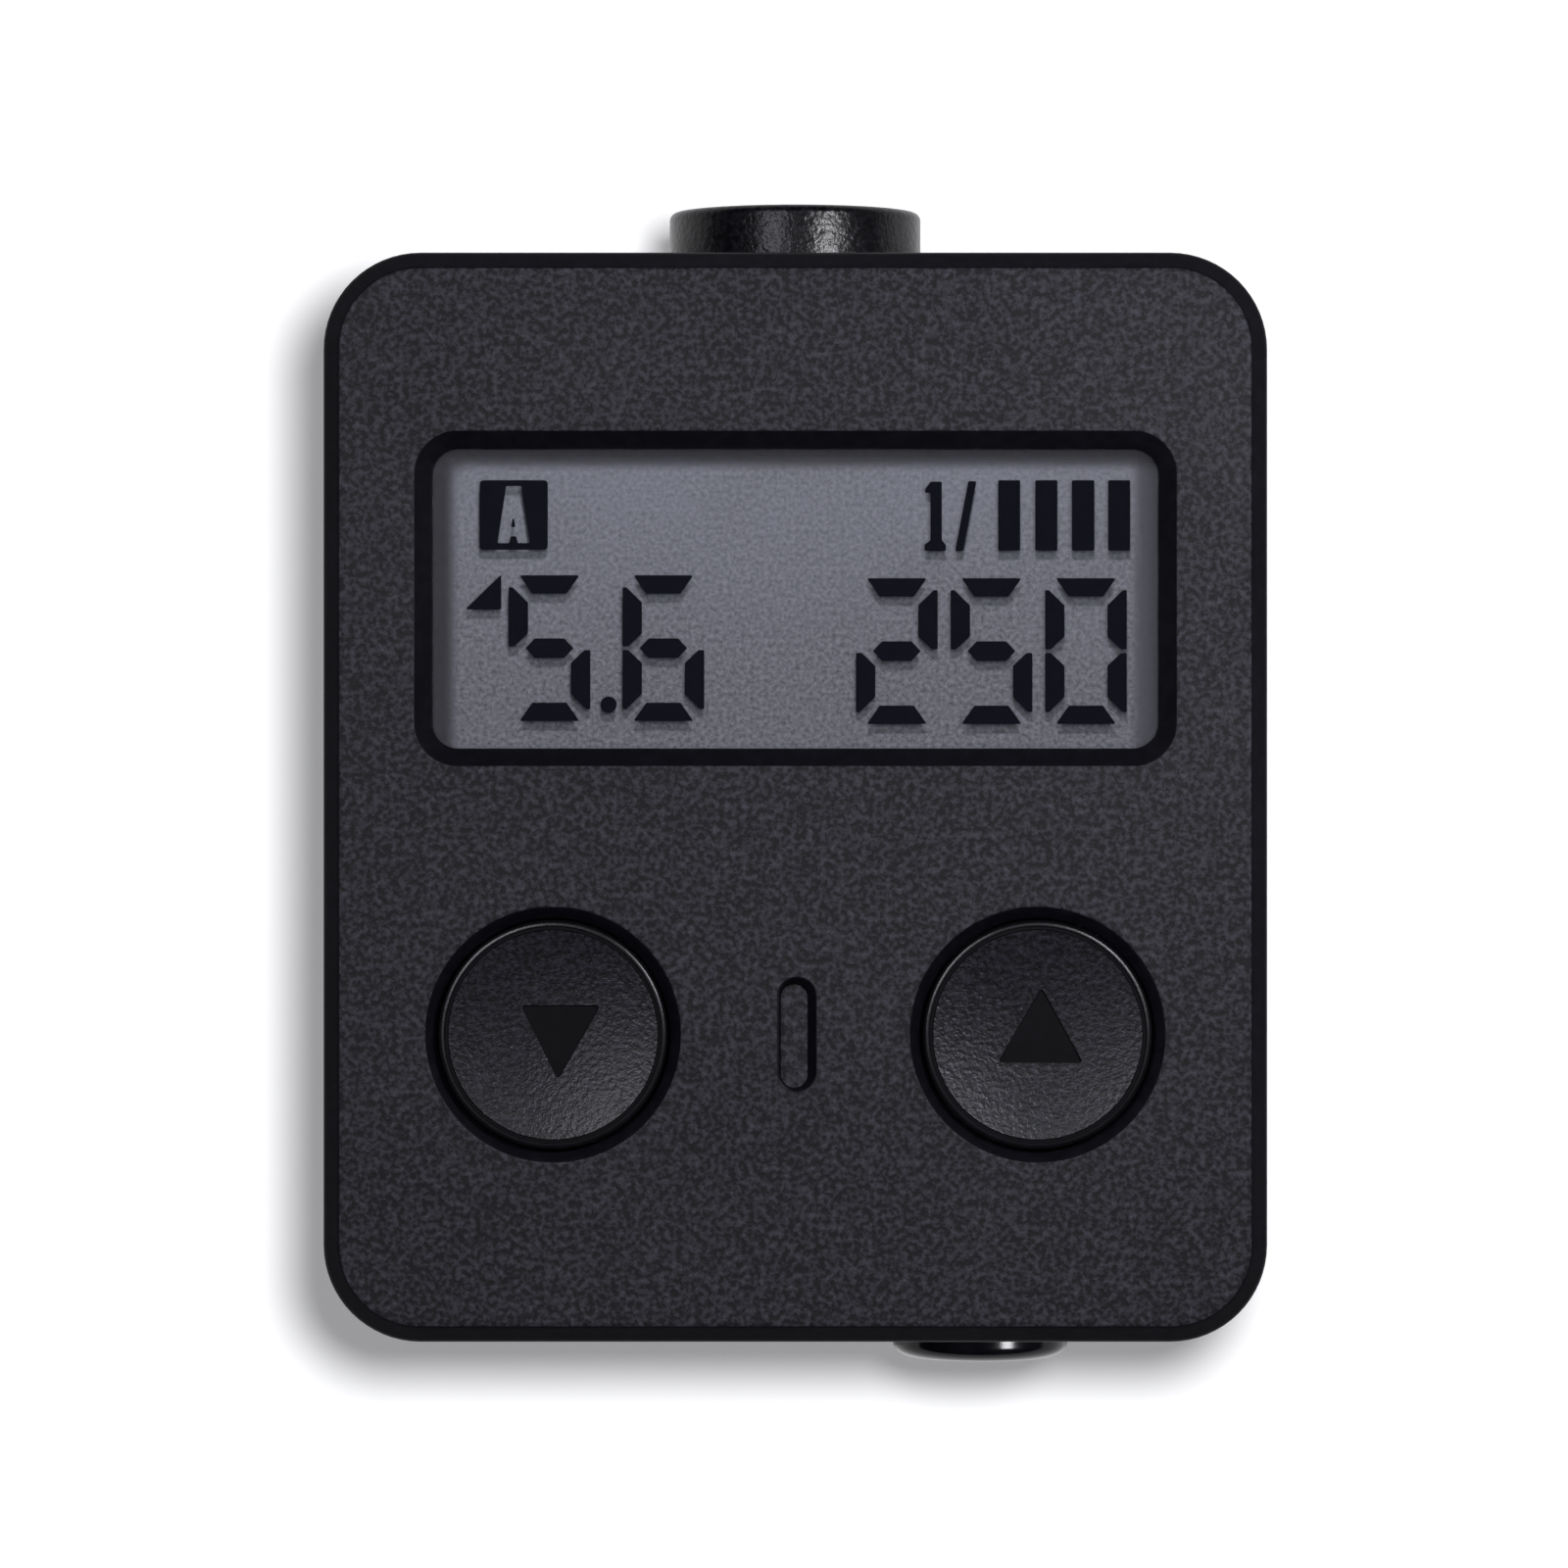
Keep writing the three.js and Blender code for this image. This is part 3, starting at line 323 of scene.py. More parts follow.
# The same ABS on round edges, bevels and the walls of the openings: smoother, as where the tool was polished,
# and painted darker than the face as painted shade
caseEdgeShaded = newMaterial("moulded_abs_smooth_edge_painted_shade", grainedPlastic, {
    "dark": "#101015", "light": "#18181e", "roughness": 0.4, "specular": 0.14,
    "grain": 0.5, "drift": 6.0, "depth": 0.004})

# Inside of the case: the tool was left as milled, so it is duller
caseInside = newMaterial("moulded_abs_milled_tool", grainedPlastic, {
    "dark": "#101013", "light": "#17171a", "roughness": 0.6, "specular": 0.4,
    "grain": 0.5, "drift": 6.0, "depth": 0.01})

# Keys of ABS with a finer grain than the case: a soft sheen on the dish
keyGrain = newMaterial("moulded_abs_fine_grain", grainedPlastic, {
    "dark": "#0a0a0c", "light": "#36363f", "roughness": 0.35, "specular": 0.36,
    "grain": 0.19, "drift": 3.0, "depth": 0.03})

# Rim of the keys, rubbed smooth by fingers: dark, with a bright line where it faces a lamp
keyRim = newMaterial("moulded_abs_worn_rim", grainedPlastic, {
    "dark": "#08080b", "light": "#101014", "roughness": 0.3, "specular": 0.5,
    "grain": 0.3, "drift": 3.0, "depth": 0.006})

# Bottom of the key symbols, the fine groove round the dish and the cap's sides below the rim: smooth, darker
# than the dish; in the groove and on the sides this darker colour is painted shade
keyMarkAndShade = newMaterial("moulded_abs_smooth_mark_and_painted_shade", grainedPlastic, {
    "dark": "#08080b", "light": "#0d0d12", "roughness": 0.5, "specular": 0.1,
    "grain": 0.6, "drift": 3.0, "depth": 0.004})

# Thumb button of polished ABS: nearly black with a small bright reflection
thumbGloss = newMaterial("moulded_abs_polished", grainedPlastic, {
    "dark": "#040406", "light": "#0a0a0d", "roughness": 0.16, "specular": 0.16,
    "grain": 0.8, "drift": 4.0, "depth": 0.003})

# Sensor hood of ABS with a coarse grain: black, and glittering where it faces the light
hoodGrain = newMaterial("moulded_abs_coarse_grain", grainedPlastic, {
    "dark": "#050507", "light": "#1c1c22", "roughness": 0.29, "specular": 0.18,
    "grain": 0.22, "drift": 4.0, "depth": 0.03})

# Foot of glass filled nylon: dull, with short pale streaks of the fibres
footNylon = newMaterial("moulded_glass_filled_nylon", grainedPlastic, {
    "dark": "#121215", "light": "#26262b", "roughness": 0.62, "specular": 0.4,
    "grain": 0.35, "drift": 6.0, "depth": 0.015})

# Frames inside of polycarbonate from a plain tool: an even dark grey
innerPlastic = newMaterial("moulded_polycarbonate_plain", grainedPlastic, {
    "dark": "#161618", "light": "#1c1c1f", "roughness": 0.5, "specular": 0.4,
    "grain": 0.6, "drift": 4.0, "depth": 0.006})

# Display pane of cast acrylic: clear, with only a faint reflection
paneAcrylic = newMaterial("cast_acrylic_clear", clearSheet, {
    "tint": "#fdfdfe", "roughness": 0.04, "ior": 1.3, "haze": 4.0})

# Glass of the display: clear, very slightly green
displayGlass = newMaterial("float_glass_thin", clearSheet, {
    "tint": "#fdfefd", "roughness": 0.03, "ior": 1.1, "haze": 5.0})

# Polariser film: takes away part of the light and turns the display grey
polariserFilm = newMaterial("polariser_film_neutral", clearSheet, {
    "tint": "#f4f4f5", "roughness": 0.1, "ior": 1.12, "haze": 1.5})

# Nickel plated steel of the cell and the crystal can: bright, with fine drawn lines
nickelSteel = newMaterial("nickel_plated_steel_drawn", workedMetal, {
    "dark": "#b4b4b2", "light": "#cfcfcc", "roughness": 0.28, "grain": 0.12, "stretch": (1, 14, 1)})

# Zinc plated steel of the screws: bluish grey, with fine turned lines
zincSteel = newMaterial("zinc_plated_steel_turned", workedMetal, {
    "dark": "#a4a6aa", "light": "#c2c4c8", "roughness": 0.34, "grain": 0.1, "stretch": (1, 1, 12)})

# Rolled spring brass of the contacts and plungers: golden, with fine lines along it
springBrass = newMaterial("spring_brass_rolled", workedMetal, {
    "dark": "#b0914a", "light": "#d2b569", "roughness": 0.32, "grain": 0.14, "stretch": (16, 1, 1)})
print("materials made")

# Camera, straight above the meter as in the photograph
view = {
    "photoWidth": 1600, "photoCentre": (811.6, 813.5),  # pixels; the centre is where the meter's is
    # millimetres; the distance is from the case top, and near and far bound what the camera sees
    "sensor": 36, "lens": 170.6, "distance": 275, "near": 10, "far": 20000,
}
photoScale = view["sensor"] * view["distance"] / view["lens"] / view["photoWidth"]  # millimetres to a pixel
aimX = (view["photoWidth"] / 2 - view["photoCentre"][0]) * photoScale
aimY = (view["photoCentre"][1] - view["photoWidth"] / 2) * photoScale
caseTop = corners("top_shell")[1].z
cameraData = bpy.data.cameras.new("camera")
cameraData.lens = view["lens"]
cameraData.sensor_fit = "HORIZONTAL"
cameraData.sensor_width = view["sensor"]
cameraData.clip_start = view["near"] * mm
cameraData.clip_end = view["far"] * mm
camera = bpy.data.objects.new("camera", cameraData)
camera.location = (aimX * mm, aimY * mm, (caseTop + view["distance"]) * mm)
scene.collection.objects.link(camera)
scene.camera = camera


# Where a pixel of the photograph lies at a height above the floor
def underPixel(across, down, height):
    x = (across - view["photoCentre"][0]) * photoScale
    y = (view["photoCentre"][1] - down) * photoScale
    spread = (caseTop + view["distance"] - height) / view["distance"]
    return (aimX + (x - aimX) * spread, aimY + (y - aimY) * spread)


# Case: two moulded shells that meet in a seam under the display
case = {
    "corner": 3.6, "edge": 0.8, "wall": 1.5, "floor": 1.4, "top": 1.2, "seam": 0.25, "seamEdge": 0.08,
    "lip": 0.6, "lipHeight": 0.9, "fit": 0.15, "boss": 1.9, "pilot": 0.85, "pilotTop": 2.0, "rib": 0.8,
    "openWidth": 26.93, "openLength": 11.1, "openCorner": 0.95, "openY": 7.36,
    "openEdge": 0.67, "openEdgeDepth": 0.6,
    "keyX": 8.97, "keyY": -8.79, "keyHole": 4.3, "keyEdge": 0.45, "keyEdgeDepth": 0.42,
    "collarInner": 4.8, "collarOuter": 5.5, "collarHeight": 2.0, "collarSlot": 0.8, "slotReach": 0.3,
    "pillWidth": 1.38, "pillLength": 4.22, "pillDepth": 0.5, "pillSlant": 0.2, "pillX": 0.06,
    "pillLean": (-0.1, -0.06),  # how far the pill's floor lies from under its mouth
    "boreDepth": 3.0, "frontBore": 3.95, "thumbHole": 3.55, "thumbEdge": 0.3,
    "skin": 0.3,  # faces further inside than this count as the inside
}
shellLow, shellHigh = corners("top_shell")
coverLow = corners("bottom_cover")[0]
caseWidth, caseLength = shellHigh.x * 2, shellHigh.y * 2
parting = shellLow.z
ceiling = shellHigh.z - case["top"]
hoodHeight = centre("sensor_hood").z
thumbX, thumbZ = centre("measure_button").xz
bossX = caseWidth / 2 - case["corner"]
bossY = caseLength / 2 - case["corner"]
fourCorners = [(x, y) for x in (-bossX, bossX) for y in (-bossY, bossY)]


def insideCase(name, inset, low, high):
    return roundedSolid(name, caseWidth, caseLength, case["corner"], [(inset, low), (inset, high)])


def rods(name, radius, low, high, places, sides=24):
    return [rod(name, radius, low, high, upright(x, y), sides) for x, y in places]


# Ribs from each corner boss to one of the walls beside it
def bossRibs(alongX, low, high):
    ribs = []
    half = case["rib"] / 2
    for x, y in fourCorners:
        endX = math.copysign(caseWidth / 2 - case["wall"] / 2, x)
        endY = math.copysign(caseLength / 2 - case["wall"] / 2, y)
        left, right = sorted((x, endX)) if alongX else (x - half, x + half)
        rear, front = (y - half, y + half) if alongX else sorted((y, endY))
        ribs.append(block("rib", left, rear, low, right, front, high))
    return ribs


def wallBores():
    deep, hole, edge = -case["boreDepth"], case["thumbHole"], case["thumbEdge"]
    front = rod("bore", case["frontBore"], deep, 2 * past, lyingForward(0, caseLength / 2, hoodHeight))
    rear = turned("bore", [(0, deep), (hole, deep), (hole, -edge), (hole + 2 * edge, edge), (0, edge)],
                  lyingBackward(thumbX, -caseLength / 2, thumbZ))
    return [front, rear]


# A bevel round a hole, as (distance outside the hole, height): slanting, its two ends rounded off
def bevelProfile(width, depth, top, soft=0.06):
    low, high = Vector((0, top - depth)), Vector((width, top))
    reach = (high - low).normalized() * soft
    lowTurn = low - Vector((0, soft)), low + Vector((0.008, -0.02)), low + reach / 2 + Vector((0.004, 0))
    highTurn = high - reach, high - reach * 0.3 - Vector((0, 0.006)), high + Vector((soft, 0))
    return [tuple(point) for point in (
        (0, low.y - 2 * soft), *lowTurn, low + reach, *highTurn, (width + 2 * soft, top + past))]


# Cutting tool of the display opening, with a bevel that flares at the top face
def displayCutter():
    bevel = bevelProfile(case["openEdge"], case["openEdgeDepth"], shellHigh.z)
    profile = [(0, ceiling - past)] + [(-out, height) for out, height in bevel]
    return roundedSolid("opening", case["openWidth"], case["openLength"], case["openCorner"], profile,
                        y=case["openY"])


def keyCutter(x):
    hole = case["keyHole"]
    bevel = bevelProfile(case["keyEdge"], case["keyEdgeDepth"], shellHigh.z)
    profile = [(0, ceiling - past), (hole, ceiling - past)] + [(hole + out, height) for out, height in bevel]
    profile += [(0, shellHigh.z + past)]
    return turned("keyHole", profile, upright(x, case["keyY"]), sides=96)


# Cutting tool of the pill, as (inset, height, share of the lean), a little round at its floor and its mouth
def pillCutter():
    width, length, slant = case["pillWidth"], case["pillLength"], case["pillSlant"]
    low, top = shellHigh.z - case["pillDepth"], shellHigh.z
    leanX, leanY = case["pillLean"]
    profile = [(slant + 0.06, low, 1), (slant, low + 0.02, 1), (slant - 0.02, low + 0.06, 0.9),
               (0.01, top - 0.03, 0), (-0.05, top, 0), (-0.05, top + past, 0)]
    return lofted("pill", [roundedOutline(width - 2 * inset, length - 2 * inset, width / 2 - inset,
                                          case["pillX"] + leanX * lean, case["keyY"] + leanY * lean, z)
                           for inset, z, lean in profile])


# How far a point lies inside the case's side walls, round its corners too
def insideBy(x, y):
    pastX, pastY = abs(x) - bossX, abs(y) - bossY
    return case["corner"] - (math.hypot(pastX, pastY) if min(pastX, pastY) > 0 else max(pastX, pastY))


# Gives the faces of the shell that a polished part of the tool made their smoother finish, painted darker as
# painted shade, and those inside their own finish
def sortFaces(piece):
    for face in piece.data.polygons:
        x, y, z = face.center / mm
        rise = abs(face.normal.z)
        inTop = z >= ceiling + 0.05
        steep = rise < 0.5
        inHole = inTop and steep and abs(x) < caseWidth / 2 - 1 and abs(y) < caseLength / 2 - 1
        slanting = 0.04 < rise < 0.93
        if insideBy(x, y) > case["skin"] and z > coverLow.z + case["skin"] and not inTop:
            face.material_index = 2
        # slopes and opening walls take the smoother edge finish, painted darker as painted shade
        elif slanting or inHole:
            face.material_index = 1


# Slanting edge round the top face, its two ends rounded off, as (distance inside the side, height)
def edgeProfile(edge, top):
    start, low, high, end = (Vector(point) for point in (
        (0, top - 0.75 * edge), (0.04, top - 0.6 * edge), (0.68 * edge, top - 0.09), (edge, top)))
    turn = (high - low).normalized() * 0.08
    return [tuple(point) for point in (
        start, low - Vector((0.035, 0.06)), low, low + turn, high - turn, high, high + Vector((0.07, 0.05)),
        (high.x + 0.11, top - 0.026), end)]


def makeTopShell():
    seamTop, seamEdge = parting + case["seam"], case["seamEdge"]
    profile = [(seamEdge, seamTop), (0, seamTop + seamEdge), *edgeProfile(case["edge"], shellHigh.z)]
    shell = roundedSolid("top_shell_moulded", caseWidth, caseLength, case["corner"], profile, steps=16)
    relief = case["wall"] - case["lip"] - case["fit"]
    ribLow, ribHigh = parting + case["lipHeight"] + case["fit"], ceiling + case["top"] / 2
    cutBy(shell, [insideCase("cavity", case["wall"], parting - past, ceiling)],
          [insideCase("relief", relief, parting - past, ribLow)])
    bosses = rods("boss", case["boss"], parting, ribHigh, fourCorners, sides=32)
    inner, outer, low = case["collarInner"], case["collarOuter"], ceiling - case["collarHeight"]
    collars = [turned("collar", [(inner, low), (outer, low), (outer, ribHigh), (inner, ribHigh)],
                      upright(side * case["keyX"], case["keyY"])) for side in leftRight]
    addTo(shell, bosses, bossRibs(True, ribLow, ribHigh), bossRibs(False, ribLow, ribHigh), collars)
    half, reach = case["collarSlot"], case["slotReach"]
    slots = [block("slot", side * case["keyX"] - half, case["keyY"] + inner - reach, low - past,
                   side * case["keyX"] + half, case["keyY"] + outer + reach, ceiling) for side in leftRight]
    pilots = rods("pilot", case["pilot"], parting - past, ceiling - case["pilotTop"], fourCorners)
    holes = [displayCutter(), keyCutter(-case["keyX"]), keyCutter(case["keyX"]), pillCutter(), *wallBores()]
    cutBy(shell, slots + pilots, holes)
    sortFaces(shell)
    dressed(smoothed(shell), "case", ["top_shell"], [caseGrain, caseEdgeShaded, caseInside])


# Lower shell with the lip, the battery slot, the screw seats and what stands inside
cover = {
    "seat": 1.45, "seatDepth": 1.6, "shank": 0.85, "rail": 0.8, "railGap": 0.2, "railInset": 0.7,
    "railStart": 0.2, "slotEnd": 0.1,  # from the inside of the left wall
    "railEnd": 2.8,  # from the middle of the thumb button
    "stop": 0.8, "stopLength": 5.0, "stopInset": 0.4, "post": 1.3, "postInset": 2.3, "slotGap": 0.2,
}
footHoles = [(x, y) for x in (-4.2, 4.2) for y in (-5.2, 5.2)]


def makeBottomCover():
    low, floor, edge = coverLow.z, coverLow.z + case["floor"], case["edge"]
    profile = [(edge - across, low + edge - up) for across, up in reversed(quarter(edge, 10))]
    profile += [(0, parting - case["seamEdge"]), (case["seamEdge"], parting)]
    shell = roundedSolid("bottom_cover_moulded", caseWidth, caseLength, case["corner"], profile, steps=16)
    high = parting + 3 * past
    addTo(shell, [insideCase("lip", case["wall"] - case["lip"], parting - past, parting + case["lipHeight"])])
    cutBy(shell, [insideCase("cavity", case["wall"], floor, high)])
    sink = floor - case["floor"] / 2  # what stands on the floor reaches into it
    ribHigh = parting - case["seam"]
    boardLow, boardHigh = corners("main_board")
    trayLow, trayHigh = corners("battery_tray")
    trayY = (trayLow.y + trayHigh.y) / 2
    doorHalf = (trayHigh.y - trayLow.y) / 2 + cover["slotGap"]
    frameHalf = doorHalf - cover["railInset"]
    innerX = caseWidth / 2 - case["wall"]
    stopX, stopHalf = trayHigh.x + cover["railGap"], cover["stopLength"] / 2
    inside = []
    for side in leftRight:
        y = trayY + side * (frameHalf + cover["railGap"] + cover["rail"] / 2)
        inside.append(block("rail", cover["railStart"] - innerX, y - cover["rail"] / 2, sink,
                            thumbX - cover["railEnd"], y + cover["rail"] / 2, boardLow.z))
        y = trayY + side * (frameHalf - stopHalf - cover["stopInset"])
        inside.append(block("stop", stopX, y - stopHalf, sink,
                            stopX + cover["stop"], y + stopHalf, boardLow.z))
    postX = (stopX + cover["stop"] / 2 + innerX) / 2
    postY = boardHigh.y - cover["postInset"]
    posts = ((-postX, postY), (postX, postY), (postX, trayY + cover["stopLength"]))
    inside += rods("post", cover["post"], sink, boardLow.z, posts)
    pillars = rods("pillar", case["boss"], sink, parting, fourCorners, sides=32)
    addTo(shell, pillars, bossRibs(True, sink, ribHigh), bossRibs(False, sink, ribHigh), inside)
    seatHigh = low + cover["seatDepth"]
    seat = [(0, low - past), (cover["seat"], low - past), (cover["seat"], seatHigh),
            (cover["shank"], seatHigh), (cover["shank"], high), (0, high)]
    seats = [turned("seat", seat, upright(x, y), sides=32) for x, y in fourCorners]
    holes = rods("hole", cover["shank"], low - past, floor + past, footHoles)
    slot = block("slot", -caseWidth / 2 - past, trayY - doorHalf, floor,
                 cover["slotEnd"] - innerX, trayY + doorHalf, high)
    cutBy(shell, seats + holes, [slot], wallBores())
    sortFaces(shell)
    dressed(smoothed(shell), "case", ["bottom_cover"], [caseGrain, caseEdgeShaded, caseInside])


makeTopShell()
makeBottomCover()

# Shoe foot: a plate under a narrower neck, all its edges slightly rounded
foot = {"width": 18.6, "length": 17.5, "thickness": 2.0, "corner": 1.2, "edge": 0.25,
        "neckWidth": 12.3, "neckLength": 15.0, "neckCorner": 0.8, "pilotDepth": 3.1}


def makeFoot():
    edge, top = foot["edge"], corners("shoe_foot")[1].z
    profile = [(edge - across, edge - up) for across, up in reversed(quarter(edge, 5))]
    profile += [(edge - across, foot["thickness"] - edge + up) for across, up in quarter(edge, 5)]
    sole = roundedSolid("shoe_foot_moulded", foot["width"], foot["length"], foot["corner"], profile)
    neck = roundedSolid("neck", foot["neckWidth"], foot["neckLength"], foot["neckCorner"],
                        [(0, foot["thickness"] / 2), (0, top)])
    pilots = rods("pilot", case["pilot"], top - foot["pilotDepth"], top + past, footHoles)
    cutBy(addTo(sole, [neck]), pilots)
    dressed(smoothed(sole), "case", ["shoe_foot"], [footNylon])


makeFoot()

# Keys: a dished cap with a thin rim and a triangle sunk in the dish, on a flange and a stem
key = {
    "radius": 4.25, "edge": 0.17, "rim": 0.04,
    "groove": 0.14, "grooveDepth": 0.12, "grooveEdge": 0.03, "grooveSlant": 0.01,
    "dishEdge": 0.06, "dish": 0.37, "markDepth": 0.07, "markRound": 0.13,
    "flange": 4.6, "flangeHeight": 0.6, "flangeGap": 0.1, "stem": 1.3,
    "tabWidth": 1.2, "tabStart": 1.0, "tabReach": 5.3,
    # corners of the triangles in the photograph, in pixels
    "marks": {"down": ((531, 1026), (569, 1103), (613, 1026)),
              "up": ((1018, 1085), (1106, 1085), (1063, 1007))},
}


# The same outline with its corners rounded
def softened(outline, radius, steps=5):
    soft = []
    for i, here in enumerate(outline):
        here = Vector(here)
        before, after = Vector(outline[i - 1]) - here, Vector(outline[(i + 1) % len(outline)]) - here
        half = before.angle(after) / 2
        reach = min(radius / math.tan(half), before.length * 0.45, after.length * 0.45)
        start, end = here + before.normalized() * reach, here + after.normalized() * reach
        for step in range(steps + 1):
            share = step / steps
            soft.append(tuple(start.lerp(here, share).lerp(here.lerp(end, share), share)))
    return soft


def makeKey(word):
    low, high = corners("button_" + word)
    x, y, top = (low.x + high.x) / 2, case["keyY"], high.z
    radius, edge = key["radius"], key["edge"]
    flangeTop = ceiling - key["flangeGap"]
    flangeLow = flangeTop - key["flangeHeight"]
    inner = radius - edge - key["rim"]
    profile = [(0, low.z), (key["stem"], low.z), (key["stem"], flangeLow), (key["flange"], flangeLow),
               (key["flange"], flangeTop), (radius, flangeTop)]
    profile += [(radius - edge + across, top - edge + up) for across, up in quarter(edge, 5)]
    # a fine groove parts the rim from the dish
    grooveLow = top - key["grooveDepth"]
    dish = inner - key["groove"] - key["grooveEdge"]
    profile += [(inner, top), (inner - key["grooveSlant"], grooveLow), (inner - key["groove"], grooveLow)]
    deepest, drop = top - key["dish"], key["dish"] - key["dishEdge"]
    profile += [(dish * share, deepest + drop * share ** 2) for share in inwards(14)]
    cap = turned("key_" + word, profile, upright(x, y), sides=96)
    half = key["tabWidth"] / 2
    addTo(cap, [block("tab", x - half, y + key["tabStart"], flangeLow,
                      x + half, y + key["tabReach"], flangeTop)])
    outline = softened([underPixel(*corner, top) for corner in key["marks"][word]], key["markRound"])
    markLow = deepest - key["markDepth"]
    cutBy(cap, [prism("mark", outline, markLow, top + past)])
    nearly = 0.001
    # the symbols' floor, the cap's sides below the rim and the groove take the darker finish: painted shade
    # in the groove and on the sides
    for face in cap.data.polygons:
        faceX, faceY, z = face.center / mm
        side = math.hypot(faceX - x, faceY - y)
        if flangeTop < z < markLow + nearly:
            face.material_index = 1
        elif side > dish and z > flangeTop + nearly:
            face.material_index = 2 if side > inner else 1
    smoothed(cap)
    # the dish keeps its true normals beside the mark
    slope = 2 * drop / dish ** 2
    normals = [(0, 0, 0)] * len(cap.data.loops)
    for face in cap.data.polygons:
        inDish = face.center.z / mm > deepest - nearly and face.normal.z > 0.5
        if face.material_index == 0 and inDish:
            for corner in face.loop_indices:
                point = cap.data.vertices[cap.data.loops[corner].vertex_index].co / mm
                normals[corner] = Vector(((x - point.x) * slope, (y - point.y) * slope, 1)).normalized()
    cap.data.normals_split_custom_set(normals)
    dressed(cap, word + "_key", ["button_" + word], [keyGrain, keyMarkAndShade, keyRim])


makeKey("down")
makeKey("up")

# Thumb button in the rear wall: a polished head with a round edge
thumb = {"radius": 3.3, "proud": 1.1, "edge": 1.0, "edgeDepth": 0.55, "crown": 0.12, "flange": 3.8,
         "flangeFront": 1.6, "flangeRear": 2.2, "stem": 1.3}


def makeThumbButton():
    stemEnd = corners("measure_button")[1].y + caseLength / 2
    rim, edge = thumb["proud"] - thumb["crown"], thumb["edge"]
    inner = thumb["radius"] - edge
    profile = [(0, -stemEnd), (thumb["stem"], -stemEnd), (thumb["stem"], -thumb["flangeRear"]),
               (thumb["flange"], -thumb["flangeRear"]), (thumb["flange"], -thumb["flangeFront"]),
               (thumb["radius"], -thumb["flangeFront"])]
    profile += [(inner + edge * across, rim - thumb["edgeDepth"] * (1 - up)) for across, up in quarter(1, 12)]
    profile += [(inner * share, rim + thumb["crown"] * (1 - share ** 2)) for share in inwards(10)[1:]]
    button = turned("thumb_button", profile, lyingBackward(thumbX, -caseLength / 2, thumbZ), sides=96)
    dressed(smoothed(button), "measure_key", ["measure_button"], [thumbGloss])


makeThumbButton()

# Sensor hood in the front wall, with a tapered mouth in front of the lens
hood = {
    "radius": 4.75, "proud": 1.9, "edge": 0.3, "mouth": 3.4, "mouthEdge": 0.1, "throat": 2.7,
    "throatFront": -0.2, "seat": -0.5, "pocket": 3.1, "spigot": 3.8, "rear": -3.0, "flange": 4.5,
    "flangeFront": -1.6, "flangeRear": -2.2, "steps": 3, "stepDepth": 0.06,
}


def makeHood():
    edge, mouthEdge, proud = hood["edge"], hood["mouthEdge"], hood["proud"]
    pocket, spigot, flange, throat = hood["pocket"], hood["spigot"], hood["flange"], hood["throat"]
    profile = [(pocket, hood["rear"]), (spigot, hood["rear"]), (spigot, hood["flangeRear"]),
               (flange, hood["flangeRear"]), (flange, hood["flangeFront"]),
               (spigot, hood["flangeFront"]), (spigot, 0), (hood["radius"], 0)]
    profile += [(hood["radius"] - edge + across, proud - edge + up) for across, up in quarter(edge, 6)]
    profile += [(hood["mouth"] + mouthEdge * (1 - up), proud - mouthEdge * (1 - across))
                for across, up in quarter(1, 3)]
    # fine steps in the mouth catch stray light
    for i in range(1, hood["steps"] + 1):
        share = i / (hood["steps"] + 1)
        radius = hood["mouth"] + (throat - hood["mouth"]) * share
        depth = proud - mouthEdge + (hood["throatFront"] - proud + mouthEdge) * share
        profile += [(radius + hood["stepDepth"], depth), (radius - hood["stepDepth"], depth)]
    profile += [(throat, hood["throatFront"]), (throat, hood["seat"]), (pocket, hood["seat"])]
    barrel = turned("sensor_hood_moulded", profile, lyingForward(0, caseLength / 2, hoodHeight), sides=128)
    dressed(smoothed(barrel), "case", ["sensor_hood"], [hoodGrain])


makeHood()

# Light sensor's lens: flat behind, domed in front. Heights are from the case's front wall
lens = {"radius": 2.95, "rear": -1.9, "seat": -0.5, "dome": 0.9, "rim": 0.35}

# Moulded acrylic of the lens: clear, with a bluish tint
lensGlass = newMaterial("moulded_acrylic_lens", clearSheet, {
    "tint": "#dfe6f2", "roughness": 0.03, "ior": 1.5, "haze": 2.0})


def makeLens():
    reach = lens["radius"] - lens["rim"]
    profile = [(0, lens["rear"]), (lens["radius"], lens["rear"]), (lens["radius"], lens["seat"])]
    profile += [(reach * share, lens["seat"] + lens["dome"] * (1 - share ** 2)) for share in inwards(12)]
    dome = turned("sensor_lens_domed", profile, lyingForward(0, caseLength / 2, hoodHeight))
    dressed(smoothed(dome), "case", ["sensor_lens"], [lensGlass])


makeLens()

# A rounded sheet in a node's place, its edges broken a little
def sheetFor(node, name, corner, edge, gap=0.0, steps=12):
    low, high = corners(node)
    bottom, top = low.z + gap, high.z - gap
    profile = [(edge, bottom), (0, bottom + edge), (0, top - edge), (edge, top)]
    x, y = centre(node).xy
    return smoothed(roundedSolid(name, high.x - low.x, high.y - low.y, corner, profile, x, y, steps))


pane = {"corner": 1.45, "edge": 0.08}
dressed(sheetFor("display_window", "display_pane", pane["corner"], pane["edge"]),
        "case", ["display_window"], [paneAcrylic])
